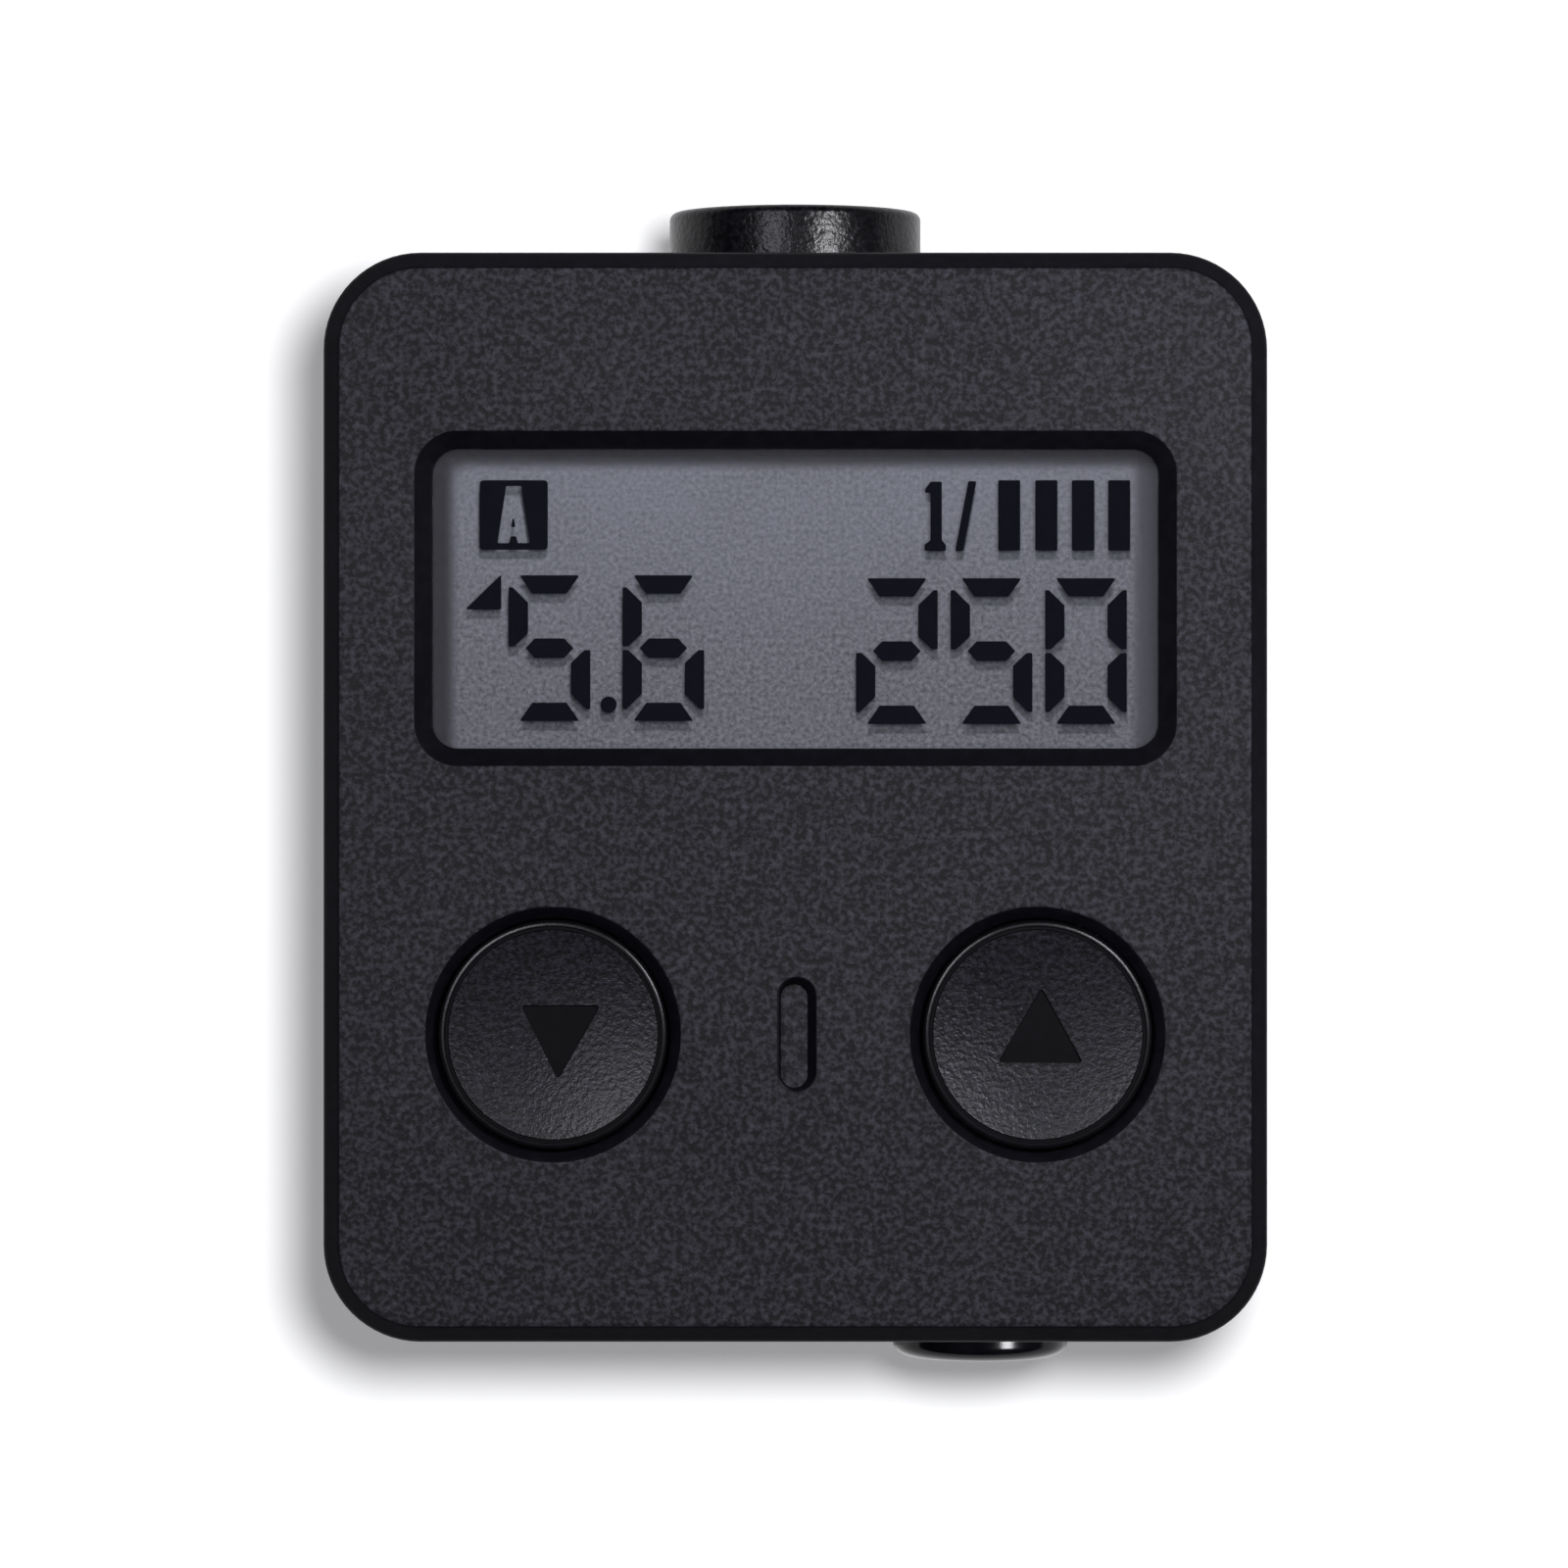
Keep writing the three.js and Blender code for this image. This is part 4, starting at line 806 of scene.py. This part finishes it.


# A film with a fine sparkle, and painted light: cooler and brighter in patches towards the front
def reflectorFilm(tree, place, look):
    grain, base = speckled(tree, place, look, roughness=0.7, levels=(0.3, 0.7))
    patch = addNode(tree, "TexNoise", {"Vector": place, "Scale": 1 / (look["patch"] * mm), "Detail": 1.0})
    spot = addNode(tree, "SeparateXYZ", {"Vector": place})
    # painted light: the film turns cooler and brighter towards the front
    paintedLightTowardsFront = addNode(tree, "MapRange", {
        "Value": spot.outputs["Y"], "From Min": look["coolStart"] * mm, "From Max": look["coolEnd"] * mm,
        "To Max": look["coolShare"]})
    paintedLightShare = addNode(tree, "Math", {0: paintedLightTowardsFront, 1: patch}, operation="MULTIPLY")
    colour = addNode(tree, "Mix", {"Factor": paintedLightShare, "A": base, "B": look["cool"]}, data_type="RGBA")
    bump = addNode(tree, "Bump", {"Height": grain, "Strength": 0.5, "Distance": 0.01 * mm})
    return addNode(tree, "BsdfPrincipled", {"Base Color": colour, "Roughness": 0.6, "Normal": bump})


# Flat paint, a little speckled
def speckledPaint(tree, place, look):
    colour = speckled(tree, place, look)[1]
    return addNode(tree, "BsdfPrincipled", {
        "Base Color": colour, "Roughness": 0.7, "Specular IOR Level": look["specular"]})


# Painted shade: the same paint, fading out over a soft inner edge like the soft edge of a shadow, at its
# reach from the middle along each axis
def fadingPaintedShade(tree, place, look):
    spot = addNode(tree, "SeparateXYZ", {"Vector": place})
    edge = {2: look["corner"] * mm}
    for i, (axis, middle, reach) in enumerate(look["spans"]):
        offset = addNode(tree, "Math", {0: spot.outputs[axis], 1: middle * mm}, operation="SUBTRACT")
        away = addNode(tree, "Math", {0: offset}, operation="ABSOLUTE")
        edge[i] = addNode(tree, "Math", {0: away, 1: reach * mm}, operation="SUBTRACT")
    outside = addNode(tree, "Math", edge, operation="SMOOTH_MAX")
    half = look["soft"] / 2 * mm
    covered = addNode(tree, "MapRange", {"Value": outside, "From Min": -half, "From Max": half},
                      interpolation_type="SMOOTHSTEP")
    bare = addNode(tree, "BsdfTransparent")
    return addNode(tree, "MixShader", {0: covered, 1: bare, 2: speckledPaint(tree, place, look)})


# Reflector of the display: aluminium-grey film, the picture's background, with painted light towards the
# front
matFilm = newMaterial("reflector_film_matt", reflectorFilm, {
    "dark": "#43414a", "light": "#84808e", "cool": "#9d9cae", "grain": 0.17, "patch": 5.0,
    "coolStart": 4.0, "coolEnd": 12.0, "coolShare": 0.5})

# Liquid crystal where it is switched on: nearly black with a blue tint, faintly uneven
crystalInk = newMaterial("liquid_crystal_dark", speckledPaint, {
    "dark": "#040610", "light": "#080a16", "grain": 0.5, "specular": 0.04})

# What the display shows. Numbers are pixels of the photograph, where no comment says otherwise
display = {
    # millimetres: thickness of the marks between the two glasses, and radius of their corners
    "plate": 0.01, "round": 0.05, "barRound": 0.06, "boxRound": 0.16, "dotRound": 0.01,
    # strokes of a digit, from the digit's top left corner; the others mirror these
    "digitWidth": 83.4, "digitHeight": 148.8,
    "topStroke": ((11, 0), (72.4, 0), (59.1, 18.8), (24.3, 18.8)),
    "middleStroke": ((17.2, 74.4), (26.7, 64.4), (56.7, 64.4), (66.2, 74.4), (56.7, 84.4), (26.7, 84.4)),
    "upperStroke": ((0, 12.2), (4, 12.2), (19.8, 27.7), (19.8, 59.4), (6, 72.4), (0, 72.6)),
    "digits": ((519.0, 587.0, "5"), (635.2, 587.0, "6"), (873.4, 590.0, "2"), (970.0, 590.0, "5"),
               (1066.4, 590.0, "0")),
    "strokes": {"5": "tmbul", "6": "tmbule", "2": "tmbre", "0": "tbulre"},
    "dot": (621.0, 719.0, 8.4),
    "pointer": ((511.5, 586.0), (511.5, 622.0), (474.5, 622.0)),
    "bars": ((1018.5, 1041.0), (1056.4, 1079.0), (1093.7, 1116.7), (1130.8, 1153.2)),
    "barTop": 490.0, "barFoot": 561.8,
    "one": ((949.5, 491.5), (961.0, 491.5), (961.0, 551.0), (965.3, 556.0), (965.3, 562.3), (943.4, 562.3),
            (943.4, 556.0), (949.5, 551.0), (949.5, 503.0), (944.0, 503.0), (944.0, 499.0)),
    "slash": ((988.0, 491.0), (996.4, 491.0), (983.0, 562.3), (974.6, 562.3)),
    "box": ((489.5, 490.0), (559.0, 490.0), (559.0, 561.0), (489.5, 561.0)),
    "letter": ((516.5, 496.0), (531.8, 496.0), (540.7, 554.2), (528.4, 554.2), (526.6, 547.2), (521.2, 547.2),
               (519.4, 554.2), (507.6, 554.2)),
    "counter": ((523.8, 526.0), (526.0, 538.0), (521.4, 538.0)),
    # painted shade round the picture: a darker band along the film's left and top edges, and a lighter strip
    # along its right edge, where the case's walls shade the display; corner, soft and grain are millimetres
    "mask": {"left": 459.0, "top": 472.0, "right": 1206.0, "bottom": 790.0, "corner": 0.9, "soft": 0.8,
             "material": "painted_shade_grey_dark",
             "dark": "#2e2e32", "light": "#3e3e42", "grain": 0.2, "specular": 0.2},
    "shadeStrip": {"left": 446.0, "top": 456.0, "right": 1162.0, "bottom": 790.0, "corner": 0.5, "soft": 0.8,
             "material": "painted_shade_grey_light",
             "dark": "#4b4b51", "light": "#5b5b62", "grain": 0.2, "specular": 0.2},
}
crystalHeight = corners("lcd_rear_glass")[1].z
filmHeight = corners("lcd_front_glass")[1].z

# Layers of the display, a hair apart: films with cut edges, glasses with ground edges
layers = {
    "lcd_front_polariser": ("polariser_film", 0.02, "lcd_film", polariserFilm),
    "lcd_front_glass": ("front_glass", 0.08, "lcd_glass", displayGlass),
    "lcd_rear_glass": ("rear_glass", 0.08, "lcd_glass", displayGlass),
    "lcd_reflector": ("reflector_film", 0.02, "lcd_reflector", matFilm),
}
for node, (name, edge, slot, coat) in layers.items():
    layer = sheetFor(node, name, corner=0.1, edge=edge, gap=display["plate"], steps=3)
    dressed(layer, "case", [node], [coat])


# A thin frame of painted shade between two layers, from the edge of the glass in to the sides given in
# pixels; it casts no shadow of its own
def makePaintedShadeFrame(name, height, look, inset=0.1):
    low, high = corners("lcd_rear_glass")
    half = display["plate"] / 2
    left, top = underPixel(look["left"], look["top"], height)
    right, bottom = underPixel(look["right"], look["bottom"], height)
    middleX, middleY, soft = (left + right) / 2, (top + bottom) / 2, look["soft"]
    plate = block(name, low.x + inset, low.y + inset, height - half,
                  high.x - inset, high.y - inset, height + half)
    window = roundedSolid("window", right - left - soft, top - bottom - soft, look["corner"],
                          [(0, height - past), (0, height + past)], middleX, middleY)
    spans = ("X", middleX, (right - left) / 2), ("Y", middleY, (top - bottom) / 2)
    paint = newMaterial(look["material"], fadingPaintedShade, {**look, "spans": spans})
    dressed(cutBy(plate, [window]), "case", [], [paint]).visible_shadow = False


def mark(outline, radius=display["round"], reach=0.0):
    points = softened([underPixel(x, y, crystalHeight) for x, y in outline], radius, steps=3)
    half = display["plate"] / 2 + reach
    return prism("mark", points, crystalHeight - half, crystalHeight + half)


# The strokes of a digit: top, middle and bottom, upper and lower left (u, e), upper and lower right (r, l)
def digitStrokes():
    width, height = display["digitWidth"], display["digitHeight"]
    top, upper = display["topStroke"], display["upperStroke"]
    lower = [(x, height - y) for x, y in upper]
    return {"t": top, "m": display["middleStroke"], "b": [(x, height - y) for x, y in top], "u": upper,
            "e": lower, "r": [(width - x, y) for x, y in upper], "l": [(width - x, y) for x, y in lower]}


def makeMarks():
    strokes = digitStrokes()
    marks = [mark([(left + x, top + y) for x, y in strokes[stroke]])
             for left, top, digit in display["digits"] for stroke in display["strokes"][digit]]
    top, bottom = display["barTop"], display["barFoot"]
    marks += [mark(((left, top), (right, top), (right, bottom), (left, bottom)), display["barRound"])
              for left, right in display["bars"]]
    x, y, radius = display["dot"]
    circle = [(x + radius * math.cos(angle), y + radius * math.sin(angle))
              for angle in (math.pi * i / 12 for i in range(24))]
    marks.append(mark(circle, display["dotRound"]))
    marks += [mark(display[name]) for name in ("pointer", "one", "slash", "counter")]
    marks.append(cutBy(mark(display["box"], display["boxRound"]), [mark(display["letter"], reach=past)]))
    whole = together(marks)
    whole.name = "display_marks"
    whole.data.materials.append(crystalInk)
    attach(whole, "case")
    print("made", whole.name, len(whole.data.polygons), "faces")


makeMarks()
# painted shade along the display's edges, where the case's walls shade the film
makePaintedShadeFrame("display_painted_shade_band", filmHeight, display["mask"])
makePaintedShadeFrame("display_painted_shade_strip", crystalHeight, display["shadeStrip"])

# Battery tray: a frame round the cell behind a door with a nail scoop
tray = {"corner": 5.0, "wallDrop": 0.2, "pocketGap": 0.2, "sideWall": 0.7, "bar": 0.6, "doorEdge": 0.15,
        "push": 4.0, "leafHalf": 2.5, "leafHigh": 0.1,
        "scoopRadius": 1.2, "scoopLength": 6.0, "scoopDepth": 0.8}

# Coin cell: a can with its rim folded round the gasket of the cap below
cell = {"radius": 10.0, "height": 3.2, "edge": 0.4, "cap": 8.6, "capHeight": 0.5, "proud": 0.15,
        "gasket": 0.3, "rim": 0.9, "rimSlope": 0.2, "sunk": 0.05,
        # the cap's round shoulder, as (distance inside its side, height)
        "shoulder": ((0.5, 0), (0.35, 0.04), (0.1, 0.2), (0, 0.3))}
cellX, cellY = centre("cell_can").xy
cellLow = corners("cell_cap")[0].z


def makeTray():
    low, high = corners("battery_tray")
    wallHigh = cellLow + cell["height"] - tray["wallDrop"]
    pocket = cell["radius"] + tray["pocketGap"]
    half = pocket + tray["sideWall"]
    left, right = -caseWidth / 2 + case["wall"] - tray["bar"] / 2, high.x - tray["corner"]
    holder = roundedSolid("battery_tray_moulded", high.x - left + tray["corner"], 2 * half, tray["corner"],
                          [(0, low.z), (0, wallHigh)], (left + right) / 2, cellY)
    cutBy(holder, [block("end", left - 2 * tray["corner"], cellY - 2 * half, low.z - past,
                         left, cellY + 2 * half, wallHigh + past)])
    edge, inner = tray["doorEdge"], low.x + case["wall"]
    outline = [(low.x, low.y + edge), (low.x + 0.3 * edge, low.y + 0.3 * edge), (low.x + edge, low.y),
               (inner, low.y), (inner, high.y), (low.x + edge, high.y),
               (low.x + 0.3 * edge, high.y - 0.3 * edge), (low.x, high.y - edge)]
    addTo(holder, [prism("door", outline, low.z, high.z)])
    radius, reach = tray["scoopRadius"], tray["scoopLength"] / 2
    ball = [(up, -reach - across) for across, up in quarter(radius, 8)]
    capsule = ball + [(out, -along) for out, along in reversed(ball)]
    scoopX, scoopZ = low.x + tray["scoopDepth"] - radius, (low.z + high.z) / 2
    scoop = turned("scoop", capsule, lyingForward(scoopX, cellY, scoopZ), sides=48)
    push = tray["push"]
    cutBy(holder, [rod("pocket", pocket, cellLow, wallHigh + past, upright(cellX, cellY), sides=96)],
          [rod("push", push, low.z - past, cellLow + past, upright(cellX, cellY), sides=48)],
          [block("leaf", cellX - push, cellY - tray["leafHalf"], low.z - past, high.x + past,
                 cellY + tray["leafHalf"], cellLow + tray["leafHigh"])], [scoop])
    dressed(smoothed(holder), "tray", ["battery_tray"], [caseGrain])


def makeCell():
    place = upright(cellX, cellY, cellLow)
    edge, radius, height, cap = cell["edge"], cell["radius"], cell["height"], cell["cap"]
    inner, rim, top = cap + cell["gasket"], radius - cell["rim"], height - cell["sunk"]
    deep = cell["capHeight"]
    profile = [(0, deep), (inner, deep), (inner, cell["proud"])]
    profile += [(radius - edge + up, cell["proud"] + edge - across) for across, up in quarter(edge, 5)]
    profile += [(radius - edge + across, height - edge + up) for across, up in quarter(edge, 5)]
    profile += [(rim, height), (rim - cell["rimSlope"], top), (0, top)]
    can = turned("coin_cell_can", profile, place, sides=96)
    dressed(smoothed(can), "tray", ["cell_can"], [nickelSteel])
    profile = [(0, 0)] + [(cap - inset, up) for inset, up in cell["shoulder"]] + [(cap, deep), (0, deep)]
    face = turned("coin_cell_cap", profile, place, sides=96)
    dressed(smoothed(face), "tray", ["cell_cap"], [nickelSteel])


makeTray()
makeCell()


# Lighter tracks in a square pattern under a glossy coat
def solderMask(tree, place, look):
    tracks = addNode(tree, "TexBrick", {
        "Vector": place, "Color1": look["mask"], "Color2": look["mask"],
        "Mortar": look["track"], "Scale": 1 / (look["pitch"] * mm), "Mortar Size": 0.09,
        "Mortar Smooth": 0.3, "Brick Width": 1.7, "Row Height": 0.6})
    bump = addNode(tree, "Bump", {"Height": tracks.outputs["Fac"], "Strength": 0.4, "Distance": 0.02 * mm})
    return addNode(tree, "BsdfPrincipled", {"Base Color": tracks, "Roughness": 0.32, "Normal": bump})


def layeredRubber(tree, place, look):
    scale = 1 / (look["layer"] * mm * 2 * math.pi)
    waves = addNode(tree, "TexWave", {
        "Vector": place, "Scale": scale, "Distortion": 0.1}, bands_direction="X")
    step = addNode(tree, "MapRange", {"Value": waves.outputs["Fac"], "From Min": 0.45, "From Max": 0.55})
    colour = addNode(tree, "Mix", {"Factor": step, "A": look["pink"], "B": look["black"]}, data_type="RGBA")
    return addNode(tree, "BsdfPrincipled", {"Base Color": colour, "Roughness": 0.7})


# Circuit board: green solder mask, with the tracks showing through it
boardGreen = newMaterial("circuit_board_solder_mask", solderMask, {
    "mask": "#17432a", "track": "#2a6b41", "pitch": 1.1})

# Silicone connector strip: thin black conducting layers between pink insulating ones
stripRubber = newMaterial("silicone_rubber_layered", layeredRubber, {
    "pink": "#c99a94", "black": "#2a2223", "layer": 0.18})

# Chip housings of epoxy: charcoal with a fine matt grain
chipEpoxy = newMaterial("moulded_epoxy_matt", grainedPlastic, {
    "dark": "#131315", "light": "#202022", "roughness": 0.6, "specular": 0.5,
    "grain": 0.12, "drift": 2.0, "depth": 0.01})

# Ceramic of the capacitors: brown and speckled
ceramicBrown = newMaterial("fired_ceramic_brown", grainedPlastic, {
    "dark": "#6e5436", "light": "#95754e", "roughness": 0.5, "specular": 0.5,
    "grain": 0.15, "drift": 1.0, "depth": 0.006})

# Nodes inside the case, whose solids have the right shape, and the finish of each group
groups = (
    (innerPlastic, ["lcd_holder", "light_baffle", "switch_down", "switch_up", "measure_switch"]),
    (springBrass, ["contact_negative", "contact_positive", "plunger_down", "plunger_up", "measure_plunger"]),
    (chipEpoxy, ["controller_chip", "photodiode"]),
    (ceramicBrown, [f"chip_capacitor_{i}" for i in (1, 2, 3)]),
    (zincSteel, [f"{use}_screw_{i}" for use in ("case", "foot") for i in (1, 2, 3, 4)]),
    (nickelSteel, ["timing_crystal"]),
    (stripRubber, ["contact_strip"]),
    (boardGreen, ["main_board", "sensor_board"]),
)
for coat, nodes in groups:
    for node in nodes:
        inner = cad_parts[node]
        inner.data.materials.clear()
        inner.data.materials.append(coat)
        inner.data.polygons.foreach_set("material_index", [0] * len(inner.data.polygons))
print("inner nodes coated:", sum(len(nodes) for coat, nodes in groups))


# A matt board that also glows for the camera and for mirrors, and keeps the shadow
def glowingBoard(tree, place, look):
    grain = addNode(tree, "TexNoise", {"Vector": place, "Scale": 1 / (look["grain"] * mm), "Detail": 2.0})
    bump = addNode(tree, "Bump", {"Height": grain, "Strength": 0.2, "Distance": 0.02 * mm})
    board = addNode(tree, "BsdfDiffuse", {"Color": look["colour"], "Normal": bump})
    rays = addNode(tree, "LightPath").outputs
    seen = rays["Is Camera Ray"]
    for ray in ("Is Glossy Ray", "Is Transmission Ray"):
        seen = addNode(tree, "Math", {0: seen, 1: rays[ray]}, operation="MAXIMUM")
    # further out, where the overhead lamp fades, the board glows up to white
    reach = addNode(tree, "VectorMath", {0: place}, operation="LENGTH")
    amount = addNode(tree, "MapRange", {
        "Value": reach, "From Min": look["near"] * mm, "From Max": look["far"] * mm,
        "To Min": look["glow"], "To Max": look["farGlow"]}, interpolation_type="SMOOTHSTEP")
    strength = addNode(tree, "Math", {0: seen, 1: amount}, operation="MULTIPLY")
    glow = addNode(tree, "Emission", {"Strength": strength})
    return addNode(tree, "AddShader", {0: board, 1: glow})


# Floor of painted board: matt and plain white
whiteBoard = newMaterial("painted_board_matt", glowingBoard, {
    "colour": "#e8e8ea", "glow": 0.29, "farGlow": 1.0, "near": 60, "far": 195, "grain": 1.2})
reach = 4000  # millimetres from the middle of the floor to its sides
floor = newPiece("floor", [(-reach, -reach, 0), (reach, -reach, 0), (reach, reach, 0), (-reach, reach, 0)],
                 [(0, 1, 2, 3)])
floor.data.materials.append(whiteBoard)
floor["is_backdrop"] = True

# Round lamps: one for the shadow on the floor, two for the display, the others for the case and its keys.
# Degrees off the vertical, millimetres, and the light on a surface that faces the lamp (pi is plain white)
displayParts = ["reflector_film", "display_marks", "display_painted_shade_band", "display_painted_shade_strip"]
lamps = {
    "overhead": {"tiltX": 4.15, "tiltY": 4.4, "distance": 218, "size": 32, "strength": 3.6, "tint": "#ffffff",
                 "on": ["floor"]},
    "display": {"tiltX": 4.15, "tiltY": 4.4, "distance": 218, "size": 70, "strength": 2.3, "tint": "#ffffff",
                "on": displayParts},
    # this one throws only the shadow of the marks, on the film behind them
    "displayFront": {"tiltX": 1, "tiltY": 28, "distance": 160, "size": 14, "strength": 1.45,
                     "tint": "#ffffff", "on": displayParts, "blocks": ["display_marks"]},
    "right": {"tiltX": 29, "tiltY": 15, "distance": 85, "size": 18, "strength": 1.5, "tint": "#f6f6ff"},
    "left": {"tiltX": -20, "tiltY": 15, "distance": 180, "size": 60, "strength": 1.0, "tint": "#f6f6ff",
             "also": ["thumb_button", "sensor_hood_moulded"]},
    "low": {"tiltX": 38, "tiltY": -14, "distance": 150, "size": 50, "strength": 6, "tint": "#fbfbff",
            "on": ["thumb_button"]},
    "front": {"tiltX": 31, "tiltY": 15, "distance": 130, "size": 26, "strength": 3.1, "tint": "#fbfbff",
              "on": ["sensor_hood_moulded"]},
}


def collected(name, words):
    group = bpy.data.collections.new(name)
    for word in words:
        group.objects.link(bpy.data.objects[word])
    return group


# A lamp with a list lights only that; the others light what no list names
def makeLamps():
    listed = [word for look in lamps.values() for word in look.get("on", [])]
    others = [piece.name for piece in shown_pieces() if piece.name not in listed]
    for name, look in lamps.items():
        data = bpy.data.lights.new(name, "AREA")
        data.shape = "DISK"
        data.color = toLinear(look["tint"])[:3]
        data.size = look["size"] * mm
        data.energy = look["strength"] * math.pi * (look["distance"] * mm) ** 2
        tiltX, tiltY = math.radians(look["tiltX"]), math.radians(look["tiltY"])
        direction = Vector((math.tan(tiltX), math.tan(tiltY), 1)).normalized()
        lamp = bpy.data.objects.new(name, data)
        lamp.location = Vector((0, 0, caseTop * mm)) + direction * look["distance"] * mm
        lamp.rotation_euler = direction.to_track_quat("Z", "Y").to_euler()
        lamp.visible_camera = False
        scene.collection.objects.link(lamp)
        lit = look.get("on", others + look.get("also", []))
        lamp.light_linking.receiver_collection = collected("lit_by_" + name, lit)
        if "blocks" in look:
            lamp.light_linking.blocker_collection = collected("blocks_" + name, look["blocks"])


makeLamps()


# World: a dim grey studio, darker towards the horizon
def makeWorld():
    look = {"top": "#4a4a54", "horizon": "#26262c", "low": 0.2, "high": 0.95}
    world = bpy.data.worlds.new("studio")
    world.use_nodes = True
    tree = world.node_tree
    tree.nodes.clear()
    place = addNode(tree, "TexCoord").outputs["Generated"]
    height = addNode(tree, "SeparateXYZ", {"Vector": place}).outputs["Z"]
    rise = addNode(tree, "MapRange", {"Value": height, "From Min": look["low"], "From Max": look["high"]},
                   interpolation_type="SMOOTHSTEP")
    colour = addNode(tree, "Mix", {"Factor": rise, "A": look["horizon"], "B": look["top"]}, data_type="RGBA")
    sky = addNode(tree, "Background", {"Color": colour, "Strength": 1.0})
    addNode(tree, "OutputWorld", {"Surface": sky})
    scene.world = world


makeWorld()
print("lamps, floor and world made")
